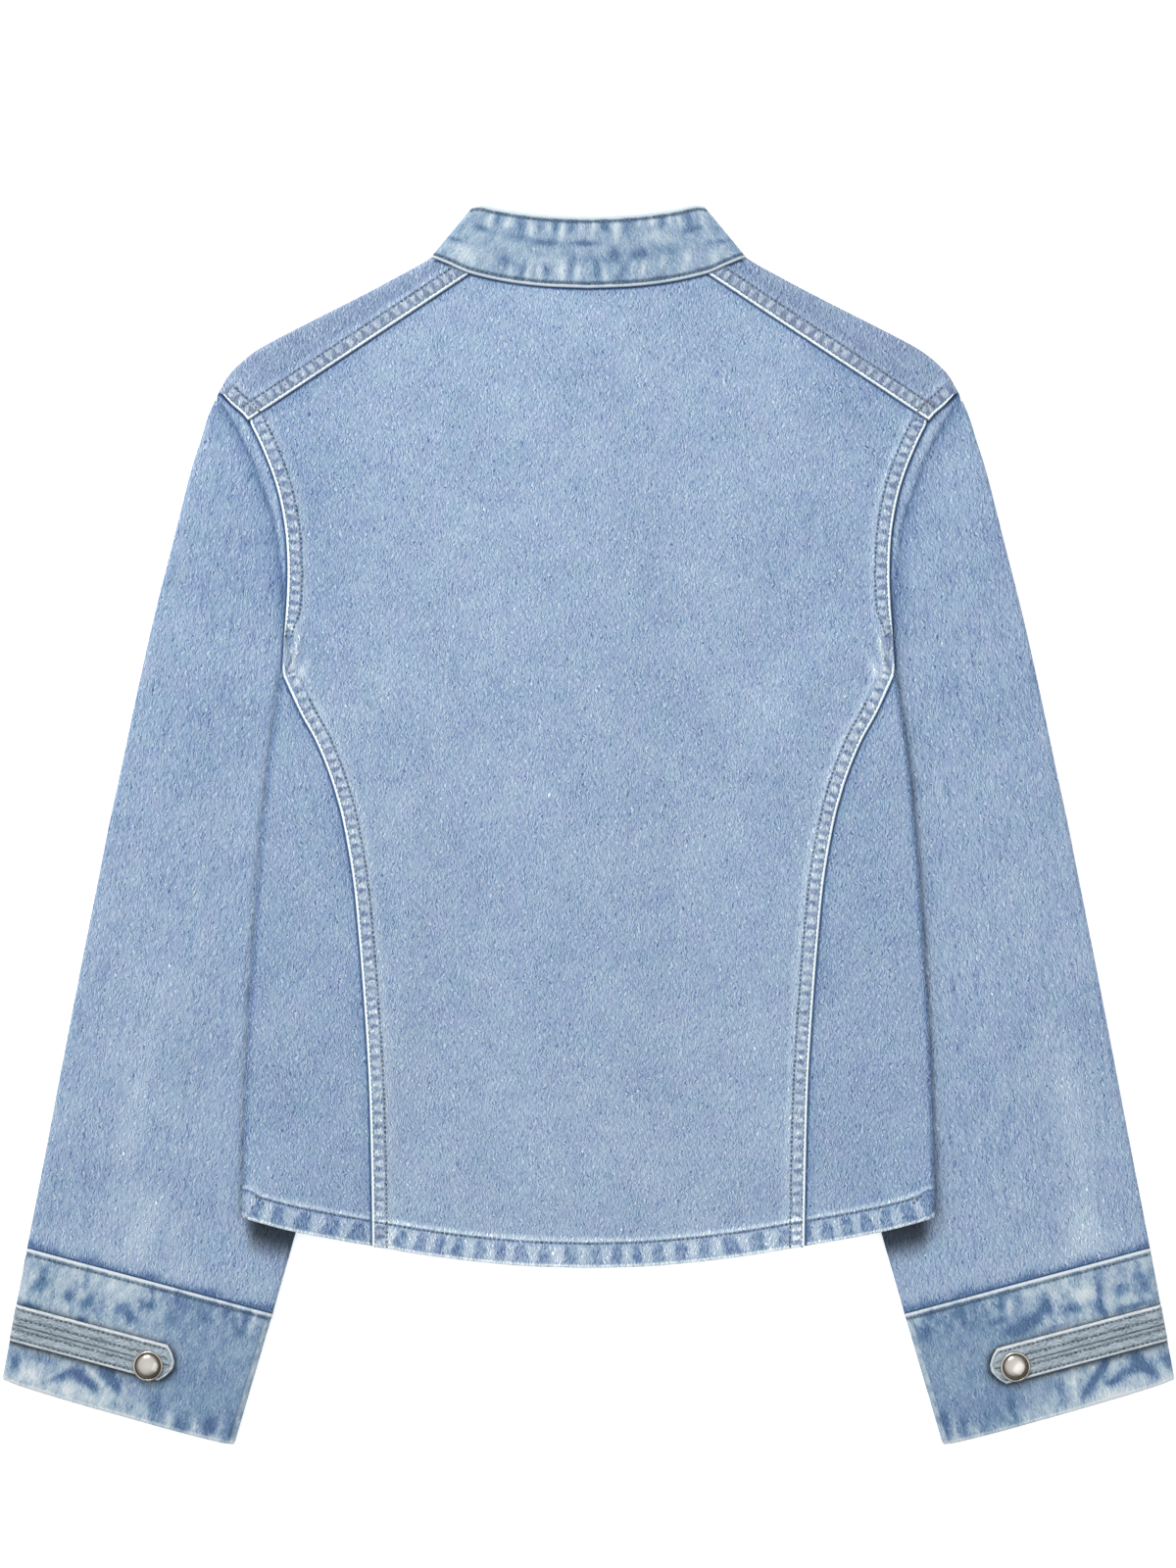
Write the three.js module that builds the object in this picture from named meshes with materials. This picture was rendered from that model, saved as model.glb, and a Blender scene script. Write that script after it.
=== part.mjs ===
// A short denim jacket with a stand collar, laid flat on its front with its back upwards.
// Millimetres. +X is the wearer's right, +Y runs from the hem to the collar, +Z up off the table.
// Each cut piece of cloth is one closed wall: a grid of outer points and a grid of inner points.
import * as THREE from "three";

// Cloth and seams
const WALL = 1.2; // one layer of washed denim with its nap
const FOLDED_WALL = 2.4; // collar and cuffs are two layers
const HALF_GAP = 0.17; // each piece stops this far from its seam line
const STITCHED_WIDTH = 8; // the stitched, thicker edge of a lapped seam
const STITCHED_SLOPE = 2; // cloth beside it, back to one layer
const STITCHED_RISE = 0.8;
const HEM_RISE = 0.8; // the turned-up hem is three layers

// Heights of the layers above the table
const FLAT_TOP = 6.2; // outside of the back where only the front lies under it
const CENTRE_RISE = 2.6; // the back over the lapped front edges and their buttons
const CENTRE_FLAT = 10; // half-width of that rise, and the slope beside it
const CENTRE_SLOPE = 48;
const SIDE_RISE = 2.8; // the back where a sleeve lies under the body
const SIDE_UNDER = 4.6; // underside of the front where a sleeve lies under it
const SIDE_MARGIN = 22; // that lift reaches this far past the hidden sleeve
const SIDE_SLOPE = 32;
const BUTTON_LIFT = 3; // the lapped front edge rests on its buttons
const LAP_LIFT = 4.8; // the left front lies on the right one
const LAP_HALF = 15; // the fronts cross this far past the centre
const LAP_FLAT = 40; // half-width of the lifted fronts, and the slope beside it
const LAP_SLOPE = 26;
const SIDE_FOLD_RADIUS = 2.3;
const CORNER_CURL = 4; // the hem corners lift off the sleeves
const CURL_REACH = 60;
const SLEEVE_TUCKED = 4; // sleeve under the body
const SLEEVE_AT_ARMHOLE = 5.3;
const SLEEVE_TOP = 6.2; // sleeve in the open
const CUFF_TOP = 7;
const COLLAR_STEP = 1.2; // the collar stands proud of the back

// Armhole, from the shoulder fold to the underarm
const ARMHOLE = [
  { x: 211.4, y: 246.8 },
  { x: 203.2, y: 239.2 },
  { x: 194.5, y: 230.7 },
  { x: 185.0, y: 211.5 },
  { x: 177.6, y: 190.5 },
  { x: 173.3, y: 168.0 },
  { x: 172.0, y: 146.0 },
  { x: 172.6, y: 124.0 },
  { x: 174.0, y: 104.0 },
  { x: 175.0, y: 87.0 },
];
const SHOULDER_END = 2; // the row where the shoulder seam meets the armhole
const SHOULDER_SEAM = 145; // length of that seam

// Body below the underarm: the curved back seam and the side fold, from the underarm to the hem
const BODY_ROWS = [
  { seamX: 174.2, seamY: 84.5, sideX: 176.2, sideY: 84.0 },
  { seamX: 164.6, seamY: 63.6, sideX: 179.1, sideY: 63.6 },
  { seamX: 156.2, seamY: 48.4, sideX: 181.3, sideY: 48.4 },
  { seamX: 149.2, seamY: 32.0, sideX: 183.5, sideY: 32.0 },
  { seamX: 143.8, seamY: 15.5, sideX: 185.1, sideY: 15.5 },
  { seamX: 139.6, seamY: -1.5, sideX: 186.6, sideY: -1.5 },
  { seamX: 134.4, seamY: -32.0, sideX: 189.0, sideY: -30.0 },
  { seamX: 131.2, seamY: -64.0, sideX: 191.1, sideY: -61.0 },
  { seamX: 128.3, seamY: -100.0, sideX: 193.3, sideY: -95.0 },
  { seamX: 125.6, seamY: -143.0, sideX: 195.6, sideY: -135.0 },
  { seamX: 124.3, seamY: -184.0, sideX: 196.7, sideY: -172.0 },
  { seamX: 123.6, seamY: -225.0, sideX: 197.4, sideY: -207.0 },
  { seamX: 123.5, seamY: -241.0, sideX: 197.7, sideY: -222.5 },
];

// Hem from the centre to the curved back seam and on to the side
const HEM = [
  { x: 0, y: -253.4 },
  { x: 41.7, y: -252.0 },
  { x: 84.5, y: -247.5 },
  { x: 123.5, y: -241.0 },
  { x: 167.4, y: -232.3 },
  { x: 193.0, y: -225.0 },
  { x: 197.7, y: -222.5 },
];
const HEM_SEAM = 3;

// Neck seam on the back, from the centre to the shoulder seam and on to the neck fold,
// with the collar's upper edge beside each row
const BACK_NECK = [
  { x: 0, y: 306.0, edgeX: 0, edgeY: 347.2 },
  { x: 25, y: 307.1, edgeX: 17.5, edgeY: 347.8 },
  { x: 47.5, y: 310.0, edgeX: 33.5, edgeY: 349.3 },
  { x: 68, y: 314.7, edgeX: 49, edgeY: 351.7 },
  { x: 80, y: 319.9, edgeX: 58.5, edgeY: 353.7 },
];
const SHOULDER_START = 3;
const NECK_FOLD = { x: 90.3, y: 324.2, edgeX: 66.2, edgeY: 353.4 };

// Neckline under the back, from the neck fold down to the centre front
const FRONT_NECK = [
  { x: 83, y: 296, edgeX: 56, edgeY: 331 },
  { x: 70, y: 273, edgeX: 46, edgeY: 311 },
  { x: 50, y: 256, edgeX: 33, edgeY: 296 },
  { x: 18, y: 247, edgeX: 14, edgeY: 287.5 },
  { x: 0.6, y: 246.6, edgeX: 0.6, edgeY: 286 },
];

// Shoulder fold, from the neck to the armhole
const SHOULDER_FOLD = [
  { x: 90.3, y: 324.2 },
  { x: 97.5, y: 319.6 },
  { x: 128.5, y: 303.0 },
  { x: 155.1, y: 289.5 },
  { x: 181.2, y: 276.1 },
  { x: 192.4, y: 269.4 },
  { x: 200.5, y: 262.6 },
  { x: 206.6, y: 255.9 },
  { x: 211.4, y: 246.8 },
];

// Sleeve sections from the shoulder to the cuff seam. Down to the underarm the inner end is
// the armhole; below it, the fold that lies under the body
const SLEEVE_ROWS = [
  { innerX: 211.8, innerY: 246.0, outerX: 213.8, outerY: 242.2 },
  { innerX: 203.2, innerY: 239.2, outerX: 217.8, outerY: 233.0 },
  { innerX: 194.5, innerY: 230.7, outerX: 221.9, outerY: 219.5 },
  { innerX: 185.0, innerY: 211.5, outerX: 226.6, outerY: 205.0 },
  { innerX: 177.6, innerY: 190.5, outerX: 231.3, outerY: 187.0 },
  { innerX: 173.3, innerY: 168.0, outerX: 236.2, outerY: 167.5 },
  { innerX: 172.0, innerY: 146.0, outerX: 241.0, outerY: 148.5 },
  { innerX: 172.6, innerY: 124.0, outerX: 246.0, outerY: 129.0 },
  { innerX: 174.0, innerY: 104.0, outerX: 250.8, outerY: 109.0 },
  { innerX: 175.0, innerY: 87.0, outerX: 255.0, outerY: 90.0 },
  { innerX: 162.0, innerY: 79.0, outerX: 258.5, outerY: 74.0 },
  { innerX: 145.0, innerY: 62.0, outerX: 262.5, outerY: 55.0 },
  { innerX: 132.0, innerY: 35.0, outerX: 267.5, outerY: 31.0 },
  { innerX: 127.0, innerY: -5.0, outerX: 274.2, outerY: 0.0 },
  { innerX: 129.0, innerY: -55.0, outerX: 281.3, outerY: -36.0 },
  { innerX: 137.0, innerY: -110.0, outerX: 290.0, outerY: -80.0 },
  { innerX: 150.0, innerY: -170.0, outerX: 300.4, outerY: -134.0 },
  { innerX: 167.3, innerY: -233.0, outerX: 312.0, outerY: -195.0 },
  { innerX: 180.7, innerY: -280.0, outerX: 321.2, outerY: -242.5 },
];
const UNDERARM_ROW = 9;

const CUFF_ROWS = [
  { innerX: 180.7, innerY: -280.0, outerX: 321.2, outerY: -242.5 },
  { innerX: 188.1, innerY: -305.0, outerX: 325.9, outerY: -267.8 },
  { innerX: 195.6, innerY: -330.3, outerX: 330.7, outerY: -293.0 },
  { innerX: 202.6, innerY: -354.8, outerX: 335.2, outerY: -317.5 },
];

// Tab on each cuff, from the outer fold towards a blunt point, and its button
const TAB_START = { x: 329.1, y: -284.5 };
const TAB_WAY = { x: -0.966, y: -0.258 };
const TAB_CLEARANCE = 0.35;
const TAB_LENGTH = { left: 95.5, right: 103 };
const TAB_HALF_WIDTH = 10.5;
const TAB_POINT = 6.5;
const TAB_WALL = 1.8;
const TAB_BUTTON = { left: { x: 251.4, y: -309.1 }, right: { x: 243.6, y: -309.6 } };

const BUTTON_RADIUS = 8.6;
const BUTTON_HEIGHT = 2.8;
const FRONT_BUTTONS = { count: 6, top: 222, spacing: 88 };

const LIGHT_DENIM = new THREE.Color("#9db3ce");
const DARK_DENIM = new THREE.Color("#8097b5");
const BRUSHED_METAL = new THREE.Color("#c9c6bf");

const { clamp, lerp, smoothstep } = THREE.MathUtils;
const point = (x, y) => new THREE.Vector2(x, y);
const planPoints = (rows, x = "x", y = "y") => rows.map((row) => point(row[x], row[y]));

// The x of a line of points at a height y, where y falls from row to row
function xAt(points, y) {
  for (let i = 1; i < points.length; i++) {
    if (y >= points[i].y || i === points.length - 1) {
      const share = (points[i - 1].y - y) / (points[i - 1].y - points[i].y);
      return lerp(points[i - 1].x, points[i].x, clamp(share, 0, 1));
    }
  }
}

function hemY(x) {
  const k = Math.max(1, HEM.findIndex((p) => p.x >= x));
  const share = (x - HEM[k - 1].x) / (HEM[k].x - HEM[k - 1].x);
  return lerp(HEM[k - 1].y, HEM[k].y, share);
}

function distanceTo(points, x, y) {
  const here = new THREE.Vector3(x, y, 0);
  const nearest = new THREE.Vector3();
  let best = Infinity;
  for (let i = 1; i < points.length; i++) {
    const start = new THREE.Vector3(points[i - 1].x, points[i - 1].y, 0);
    const end = new THREE.Vector3(points[i].x, points[i].y, 0);
    new THREE.Line3(start, end).closestPointToPoint(here, true, nearest);
    best = Math.min(best, nearest.distanceTo(here));
  }
  return best;
}

// A point of a line at a share of its length
function alongLine(points, share) {
  const steps = points.slice(1).map((p, i) => p.distanceTo(points[i]));
  let left = share * steps.reduce((sum, step) => sum + step, 0);
  for (let i = 0; i < steps.length; i++) {
    if (left <= steps[i] || i === steps.length - 1) {
      return points[i].clone().lerp(points[i + 1], clamp(left / steps[i], 0, 1));
    }
    left -= steps[i];
  }
}

const hiddenFold = planPoints(SLEEVE_ROWS.slice(UNDERARM_ROW), "innerX", "innerY");
const sideFold = planPoints(BODY_ROWS, "sideX", "sideY");
const armhole = planPoints(ARMHOLE);
const hemCorner = sideFold[sideFold.length - 1];
const underarm = armhole[armhole.length - 1];

// 1 over the hidden part of a sleeve, falling to 0 away from it
function overSleeve(x, y) {
  const side = Math.abs(x);
  if (y < underarm.y && side > xAt(hiddenFold, y)) return 1;
  return 1 - smoothstep(distanceTo(hiddenFold, side, y), SIDE_MARGIN, SIDE_MARGIN + SIDE_SLOPE);
}

function cornerCurl(x, y) {
  const reach = Math.hypot(Math.abs(x) - hemCorner.x, y - hemCorner.y);
  return CORNER_CURL * (1 - smoothstep(reach, 0, CURL_REACH));
}

// Outside of the back and of the shoulder parts that fold over onto it
function bodyTop(x, y) {
  const centre = 1 - smoothstep(Math.abs(x), CENTRE_FLAT, CENTRE_FLAT + CENTRE_SLOPE);
  return FLAT_TOP + CENTRE_RISE * centre + SIDE_RISE * overSleeve(x, y) + cornerCurl(x, y);
}

// Outside of a front, which faces the table. The left front crosses over the right one
function bodyUnder(x, y, centreLift) {
  const lap = 1 - smoothstep(Math.abs(x), LAP_FLAT, LAP_FLAT + LAP_SLOPE);
  return Math.max(centreLift * lap, SIDE_UNDER * overSleeve(x, y) + cornerCurl(x, y));
}

function sleeveTop(x, y) {
  const edgeX = y > underarm.y ? xAt(armhole, y) : xAt(sideFold, y);
  const tucked = lerp(SLEEVE_TUCKED, SLEEVE_AT_ARMHOLE, smoothstep(y, 90, 145));
  const open = smoothstep(-y, 232, 262);
  const atEdge = lerp(tucked, SLEEVE_TOP, open);
  return lerp(atEdge, SLEEVE_TOP, smoothstep(Math.abs(x) - edgeX, 8, 48));
}

// A four-sided patch between two lines and two columns of points. share(i, j) is how far
// column i lies across row j
function patch(bottom, top, left, right, columns, share) {
  const rise = left.map((p, j) => (j ? p.distanceTo(left[j - 1]) + right[j].distanceTo(right[j - 1]) : 0));
  const total = rise.reduce((sum, step) => sum + step, 0);
  let climbed = 0;
  return left.map((start, j) => {
    climbed += rise[j];
    const v = climbed / total;
    const row = [];
    for (let i = 0; i < columns; i++) {
      const u = share(i, j);
      const low = bottom(u);
      const high = top(u);
      const mix = (axis) =>
        (1 - v) * low[axis] + v * high[axis] + (1 - u) * start[axis] + u * right[j][axis]
        - (1 - v) * ((1 - u) * left[0][axis] + u * right[0][axis])
        - v * ((1 - u) * left.at(-1)[axis] + u * right.at(-1)[axis]);
      row.push(point(mix("x"), mix("y")));
    }
    return row;
  });
}

// Pulls the sewn edges of a flat grid in from their seam lines
function pullIn(grid, edges) {
  const rows = grid.length;
  const columns = grid[0].length;
  const original = grid.map((row) => row.map((p) => p.clone()));
  const move = (j, i, before, after, inside) => {
    const along = after.clone().sub(before).normalize();
    const across = point(-along.y, along.x);
    const side = Math.sign(across.dot(inside.clone().sub(original[j][i]))) || 1;
    grid[j][i].addScaledVector(across, side * HALF_GAP);
  };
  const columnEdge = (i, inside) => {
    for (let j = 0; j < rows; j++) {
      move(j, i, original[Math.max(j - 1, 0)][i], original[Math.min(j + 1, rows - 1)][i], original[j][inside]);
    }
  };
  const rowEdge = (j, inside) => {
    for (let i = 0; i < columns; i++) {
      move(j, i, original[j][Math.max(i - 1, 0)], original[j][Math.min(i + 1, columns - 1)], original[inside][i]);
    }
  };
  if (edges.first) columnEdge(0, 1);
  if (edges.last) columnEdge(columns - 1, columns - 2);
  if (edges.bottom) rowEdge(0, 1);
  if (edges.top) rowEdge(rows - 1, rows - 2);
  return grid;
}

// A closed wall from its outer and inner grids. A ring's last column meets its first
function wall(name, color, outer, inner, ring = false) {
  const rows = outer.length;
  const columns = outer[0].length;
  const count = rows * columns;
  const positions = [...outer.flat(), ...inner.flat()].flatMap((p) => p.toArray());
  const faces = [];
  const quad = (a, b, c, d) => faces.push(a, b, c, a, c, d);
  const at = (j, i) => j * columns + (i % columns);
  const lastColumn = ring ? columns : columns - 1;
  for (let j = 0; j < rows - 1; j++) {
    for (let i = 0; i < lastColumn; i++) {
      quad(at(j, i), at(j, i + 1), at(j + 1, i + 1), at(j + 1, i));
      quad(count + at(j, i), count + at(j + 1, i), count + at(j + 1, i + 1), count + at(j, i + 1));
    }
  }
  const rim = (a, b) => quad(b, a, count + a, count + b);
  for (let i = 0; i < lastColumn; i++) {
    rim(at(0, i), at(0, i + 1));
    rim(at(rows - 1, i + 1), at(rows - 1, i));
  }
  for (let j = 0; j < rows - 1 && !ring; j++) {
    rim(at(j + 1, 0), at(j, 0));
    rim(at(j, columns - 1), at(j + 1, columns - 1));
  }
  const geometry = new THREE.BufferGeometry();
  geometry.setAttribute("position", new THREE.Float32BufferAttribute(positions, 3));
  geometry.setIndex(signedVolume(positions, faces) < 0 ? faces.reverse() : faces);
  geometry.computeVertexNormals();
  const material = new THREE.MeshStandardMaterial({ color, roughness: 0.9, metalness: 0 });
  const mesh = new THREE.Mesh(geometry, material);
  mesh.name = name;
  return mesh;
}

function signedVolume(positions, faces) {
  const corner = (k) => new THREE.Vector3().fromArray(positions, 3 * faces[k]);
  let volume = 0;
  for (let k = 0; k < faces.length; k += 3) {
    volume += corner(k).dot(corner(k + 1).cross(corner(k + 2)));
  }
  return volume;
}

// The direction out of a line of fold points at one of them, away from a point inside
function outwardAt(points, k, inside) {
  const along = points[Math.min(k + 1, points.length - 1)].clone().sub(points[Math.max(k - 1, 0)]);
  const across = point(-along.y, along.x).normalize();
  return across.dot(points[k].clone().sub(inside)) < 0 ? across.negate() : across;
}

// A point of a rounded fold. Angle 90 is its top, 0 its edge and -90 its underside
function foldPoint(edge, outward, radiusAcross, low, high, degrees, inset) {
  const angle = THREE.MathUtils.degToRad(degrees);
  const across = Math.max(radiusAcross - inset, 0.15 * radiusAcross);
  const upright = Math.max((high - low) / 2 - inset, 0.2);
  const reach = Math.cos(angle) * across - radiusAcross;
  return new THREE.Vector3(
    edge.x + outward.x * reach,
    edge.y + outward.y * reach,
    (high + low) / 2 + Math.sin(angle) * upright,
  );
}

const mirrored = (side) => (p) => new THREE.Vector3(side * p.x, p.y, p.z);
const mirrorGrid = (grid, side) => grid.map((row) => row.map(mirrored(side)));

// Back, between the two curved seams
function backCentre() {
  const seam = BODY_ROWS.slice().reverse().map((row) => point(row.seamX, row.seamY));
  const right = [...seam, ...armhole.slice(SHOULDER_END, -1).reverse()];
  const left = right.map((p) => point(-p.x, p.y));
  const neck = planPoints(BACK_NECK.slice(0, SHOULDER_START + 1));
  const shoulderEnd = armhole[SHOULDER_END];
  const topRight = [...neck, shoulderEnd];
  const top = [...topRight.slice(1).reverse().map((p) => point(-p.x, p.y)), ...topRight];
  const hemRight = planPoints(HEM.slice(0, HEM_SEAM + 1));
  const hem = [...hemRight.slice(1).reverse().map((p) => point(-p.x, p.y)), ...hemRight];
  const shareOfX = (x) => (x / shoulderEnd.x + 1) / 2;
  const inner = [-150, -109, -68, -47.5, -25, 0, 25, 47.5, 68, 109, 150].map(shareOfX);
  const edges = [0, STITCHED_WIDTH, STITCHED_WIDTH + STITCHED_SLOPE];
  const columns = inner.length + 2 * edges.length;
  const share = (i, j) => {
    const width = right[j].x - left[j].x;
    if (i < edges.length) return edges[i] / width;
    if (i >= columns - edges.length) return 1 - edges[columns - 1 - i] / width;
    return inner[i - edges.length];
  };
  const onLine = (points) => (u) => {
    const x = lerp(points[0].x, points.at(-1).x, u);
    const k = Math.max(1, points.findIndex((p, n) => n > 0 && p.x >= x - 1e-6));
    const part = (x - points[k - 1].x) / (points[k].x - points[k - 1].x);
    return point(x, lerp(points[k - 1].y, points[k].y, part));
  };
  const plan = patch(onLine(hem), onLine(top), left, right, columns, share);
  pullIn(plan, { first: true, last: true, top: true });
  const lift = (i, j) => {
    const stitched = i < 2 || i > columns - 3 ? STITCHED_RISE : 0;
    return Math.max(stitched, j < 2 ? HEM_RISE : 0);
  };
  const height = (inset) => (row, j) =>
    row.map((p, i) => new THREE.Vector3(p.x, p.y, bodyTop(p.x, p.y) + (inset ? -inset : lift(i, j))));
  return wall("back_centre", LIGHT_DENIM, plan.map(height(0)), plan.map(height(WALL)));
}

// Back side panel, from the curved seam to the side seam, which lies on the fold
function backSide(name, side) {
  const angles = [90, 60, 30, 0];
  const grids = [0, WALL].map((inset) =>
    BODY_ROWS.map((row, j) => {
      const seam = point(row.seamX, row.seamY);
      const edge = sideFold[j];
      const outward = outwardAt(sideFold, j, seam);
      const radius = Math.min(SIDE_FOLD_RADIUS, 0.45 * edge.distanceTo(seam));
      const start = edge.clone().addScaledVector(outward, -radius);
      const high = bodyTop(edge.x, edge.y);
      const low = bodyUnder(edge.x, edge.y, 0);
      const first = seam.clone().lerp(edge, HALF_GAP / seam.distanceTo(edge));
      const rise = !inset && j >= BODY_ROWS.length - 2 ? HEM_RISE : 0;
      const flat = [0, 0.34, 0.68].map((share) => {
        const p = first.clone().lerp(start, share);
        return new THREE.Vector3(p.x, p.y, bodyTop(p.x, p.y) - inset + rise);
      });
      const fold = angles.map((degrees) => {
        const p = foldPoint(edge, outward, radius, low, high, degrees, inset);
        if (degrees === 0) p.z += HALF_GAP;
        if (degrees === 90) p.z += rise;
        return p;
      });
      const whole = [...flat, ...fold];
      if (j === BODY_ROWS.length - 1) whole.forEach((p) => (p.y = hemY(p.x)));
      return whole;
    }),
  );
  return wall(name, LIGHT_DENIM, mirrorGrid(grids[0], side), mirrorGrid(grids[1], side));
}

// Front: from the hem up the underside, over the shoulder fold and down to the shoulder seam
function front(name, side, centreLift) {
  const sideRows = BODY_ROWS.slice().reverse();
  const armRows = armhole.slice(1, -1).reverse();
  const foldRadius = FLAT_TOP / 2;
  const shoulderFold = planPoints(SHOULDER_FOLD);
  const chest = point(100, 200);
  const foldStart = shoulderFold.map((p, k) =>
    p.clone().addScaledVector(outwardAt(shoulderFold, k, chest), -foldRadius));
  const right = [...sideRows.map((row) => point(row.sideX, row.sideY)), ...armRows, foldStart.at(-1)];
  const centreY = [-253.2, -237, -212, -184, -156, -128, -100, -72, -44, -16, 16, 48, 82, 120, 162, 204, 246];
  const neck = FRONT_NECK.slice(0, -1).reverse();
  const left = [...centreY.map((y) => point(-LAP_HALF, y)), ...planPoints(neck), foldStart[0]];
  const lastFlat = left.length - 1;

  const nearCentre = [0, 15, 33, 50, 67];
  const nearSide = [SIDE_FOLD_RADIUS, SIDE_FOLD_RADIUS / 2, 0];
  const between = 5;
  const columns = nearCentre.length + between + nearSide.length;
  const stitchedShares = [STITCHED_WIDTH + STITCHED_SLOPE, STITCHED_WIDTH, 0].map((d) => 1 - d / SHOULDER_SEAM);
  const topShare = [0, 0.1, 0.2, 0.3, 0.4, 0.5, 0.6, 0.7, 0.79, 0.87, ...stitchedShares];
  const share = (i, j) => {
    const width = right[j].distanceTo(left[j]);
    const inner = (nearCentre.at(-1) + ((i - nearCentre.length + 1) / (between + 1))
      * (width - nearCentre.at(-1) - nearSide[0])) / width;
    const nearEdge = 1 - nearSide[i - nearCentre.length - between] / width;
    const outerPart = i < columns - nearSide.length ? inner : nearEdge;
    const low = i < nearCentre.length ? nearCentre[i] / width : outerPart;
    return lerp(low, topShare[i], smoothstep(j, 15, lastFlat));
  };
  const hem = [point(-LAP_HALF, -253.2), ...planPoints(HEM)];
  const plan = patch((u) => alongLine(hem, u), (u) => alongLine(foldStart, u), left, right, columns, share);
  pullIn(plan, { first: false, last: true });

  const turnAngles = [-60, -20, 20, 60];
  const seamStart = point(BACK_NECK[SHOULDER_START].x, BACK_NECK[SHOULDER_START].y);
  const neckTurn = point(BACK_NECK.at(-1).x, BACK_NECK.at(-1).y);
  const neckEdge = [seamStart, neckTurn, foldStart[0]];
  const armEdge = [armhole[SHOULDER_END], armhole[1], foldStart.at(-1)];
  const toTurn = seamStart.distanceTo(neckTurn);
  const turnShare = toTurn / (toTurn + neckTurn.distanceTo(foldStart[0]));
  const stripShares = [0.999, turnShare, 0.46, 0.37, 0];
  const strip = stripShares.map((across) =>
    topShare.map((along) => {
      const start = alongLine(neckEdge, across);
      const end = alongLine(armEdge, across);
      const straight = start.clone().lerp(end, along);
      const bow = alongLine(foldStart, along).sub(foldStart[0].clone().lerp(foldStart.at(-1), along));
      return straight.addScaledVector(bow, across);
    }),
  );
  pullIn(strip, { first: true, last: true, top: true });

  const grids = [0, WALL].map((inset) => {
    const flat = plan.map((row, j) => {
      const folds = j < sideRows.length;
      const edge = row.at(-1);
      const outward = outwardAt(plan.map((r) => r.at(-1)), j, row[0]);
      return row.map((p, i) => {
        const fromEdge = columns - 1 - i;
        if (folds && fromEdge < nearSide.length) {
          const high = bodyTop(edge.x, edge.y);
          const low = bodyUnder(edge.x, edge.y, centreLift);
          const degrees = [0, -45, -90][fromEdge];
          const fold = sideFold[sideRows.length - 1 - j];
          const q = foldPoint(fold, outward, SIDE_FOLD_RADIUS, low, high, degrees, inset);
          if (degrees === 0) q.z -= HALF_GAP;
          return q;
        }
        return new THREE.Vector3(p.x, p.y, bodyUnder(p.x, p.y, centreLift) + inset);
      });
    });
    const top = (p) => bodyTop(p.x, p.y);
    const turn = turnAngles.map((degrees) =>
      topShare.map((along) => {
        const edge = alongLine(shoulderFold, along);
        const inside = alongLine(foldStart, along);
        const outward = edge.clone().sub(inside).normalize();
        const low = bodyUnder(inside.x, inside.y, 0);
        return foldPoint(edge, outward, foldRadius, low, top(inside), degrees, inset);
      }),
    );
    const over = strip.map((row, j) =>
      row.map((p, i) => {
        const stitched = j > 2 || (i > columns - 3 && j > 0);
        return new THREE.Vector3(p.x, p.y, top(p) + (inset ? -inset : stitched ? STITCHED_RISE : 0));
      }),
    );
    return [...flat, ...turn, ...over];
  });
  return wall(name, LIGHT_DENIM, mirrorGrid(grids[0], side), mirrorGrid(grids[1], side));
}

// Stand collar: from its left end at the centre front round the neck to its right end
function collar() {
  const heights = [0.004, 0.3, 0.65, 1];
  const turnAngles = [-90, -50, -10, 30, 65, 90];
  const along = (row, share) => point(lerp(row.x, row.edgeX, share), lerp(row.y, row.edgeY, share));
  const outward = point(NECK_FOLD.y - NECK_FOLD.edgeY, NECK_FOLD.edgeX - NECK_FOLD.x).normalize().negate();
  const alongEdge = new THREE.Vector3(-outward.y, outward.x, 0);
  const radius = 3.4;
  const grids = [0, FOLDED_WALL].map((inset) =>
    heights.map((share) => {
      const under = (p) => BUTTON_LIFT * (1 - smoothstep(Math.abs(p.x), 14, 46)) * (1 - share);
      const lower = FRONT_NECK.slice().reverse().map((row) => {
        const p = along(row, share);
        return new THREE.Vector3(p.x, p.y, under(p) + inset);
      });
      const edge = along(NECK_FOLD, share);
      const high = bodyTop(edge.x, edge.y) + COLLAR_STEP;
      const turn = turnAngles.map((degrees) => {
        const p = foldPoint(edge, outward, radius, 0, high, degrees, inset);
        const turned = 1 - Math.cos(THREE.MathUtils.degToRad(degrees));
        const slant = degrees > 0 ? lerp(0.3, 1.04, share) * radius * turned : 0;
        return p.addScaledVector(alongEdge, slant);
      });
      const upper = BACK_NECK.slice().reverse().map((row) => {
        const p = along(row, share);
        return new THREE.Vector3(p.x, p.y, bodyTop(p.x, p.y) + COLLAR_STEP - inset);
      });
      const half = [...lower, ...turn, ...upper];
      const other = half.slice(0, -1).reverse().map(mirrored(-1));
      return [...half, ...other];
    }),
  );
  return wall("collar", DARK_DENIM, grids[0], grids[1]);
}

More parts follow.
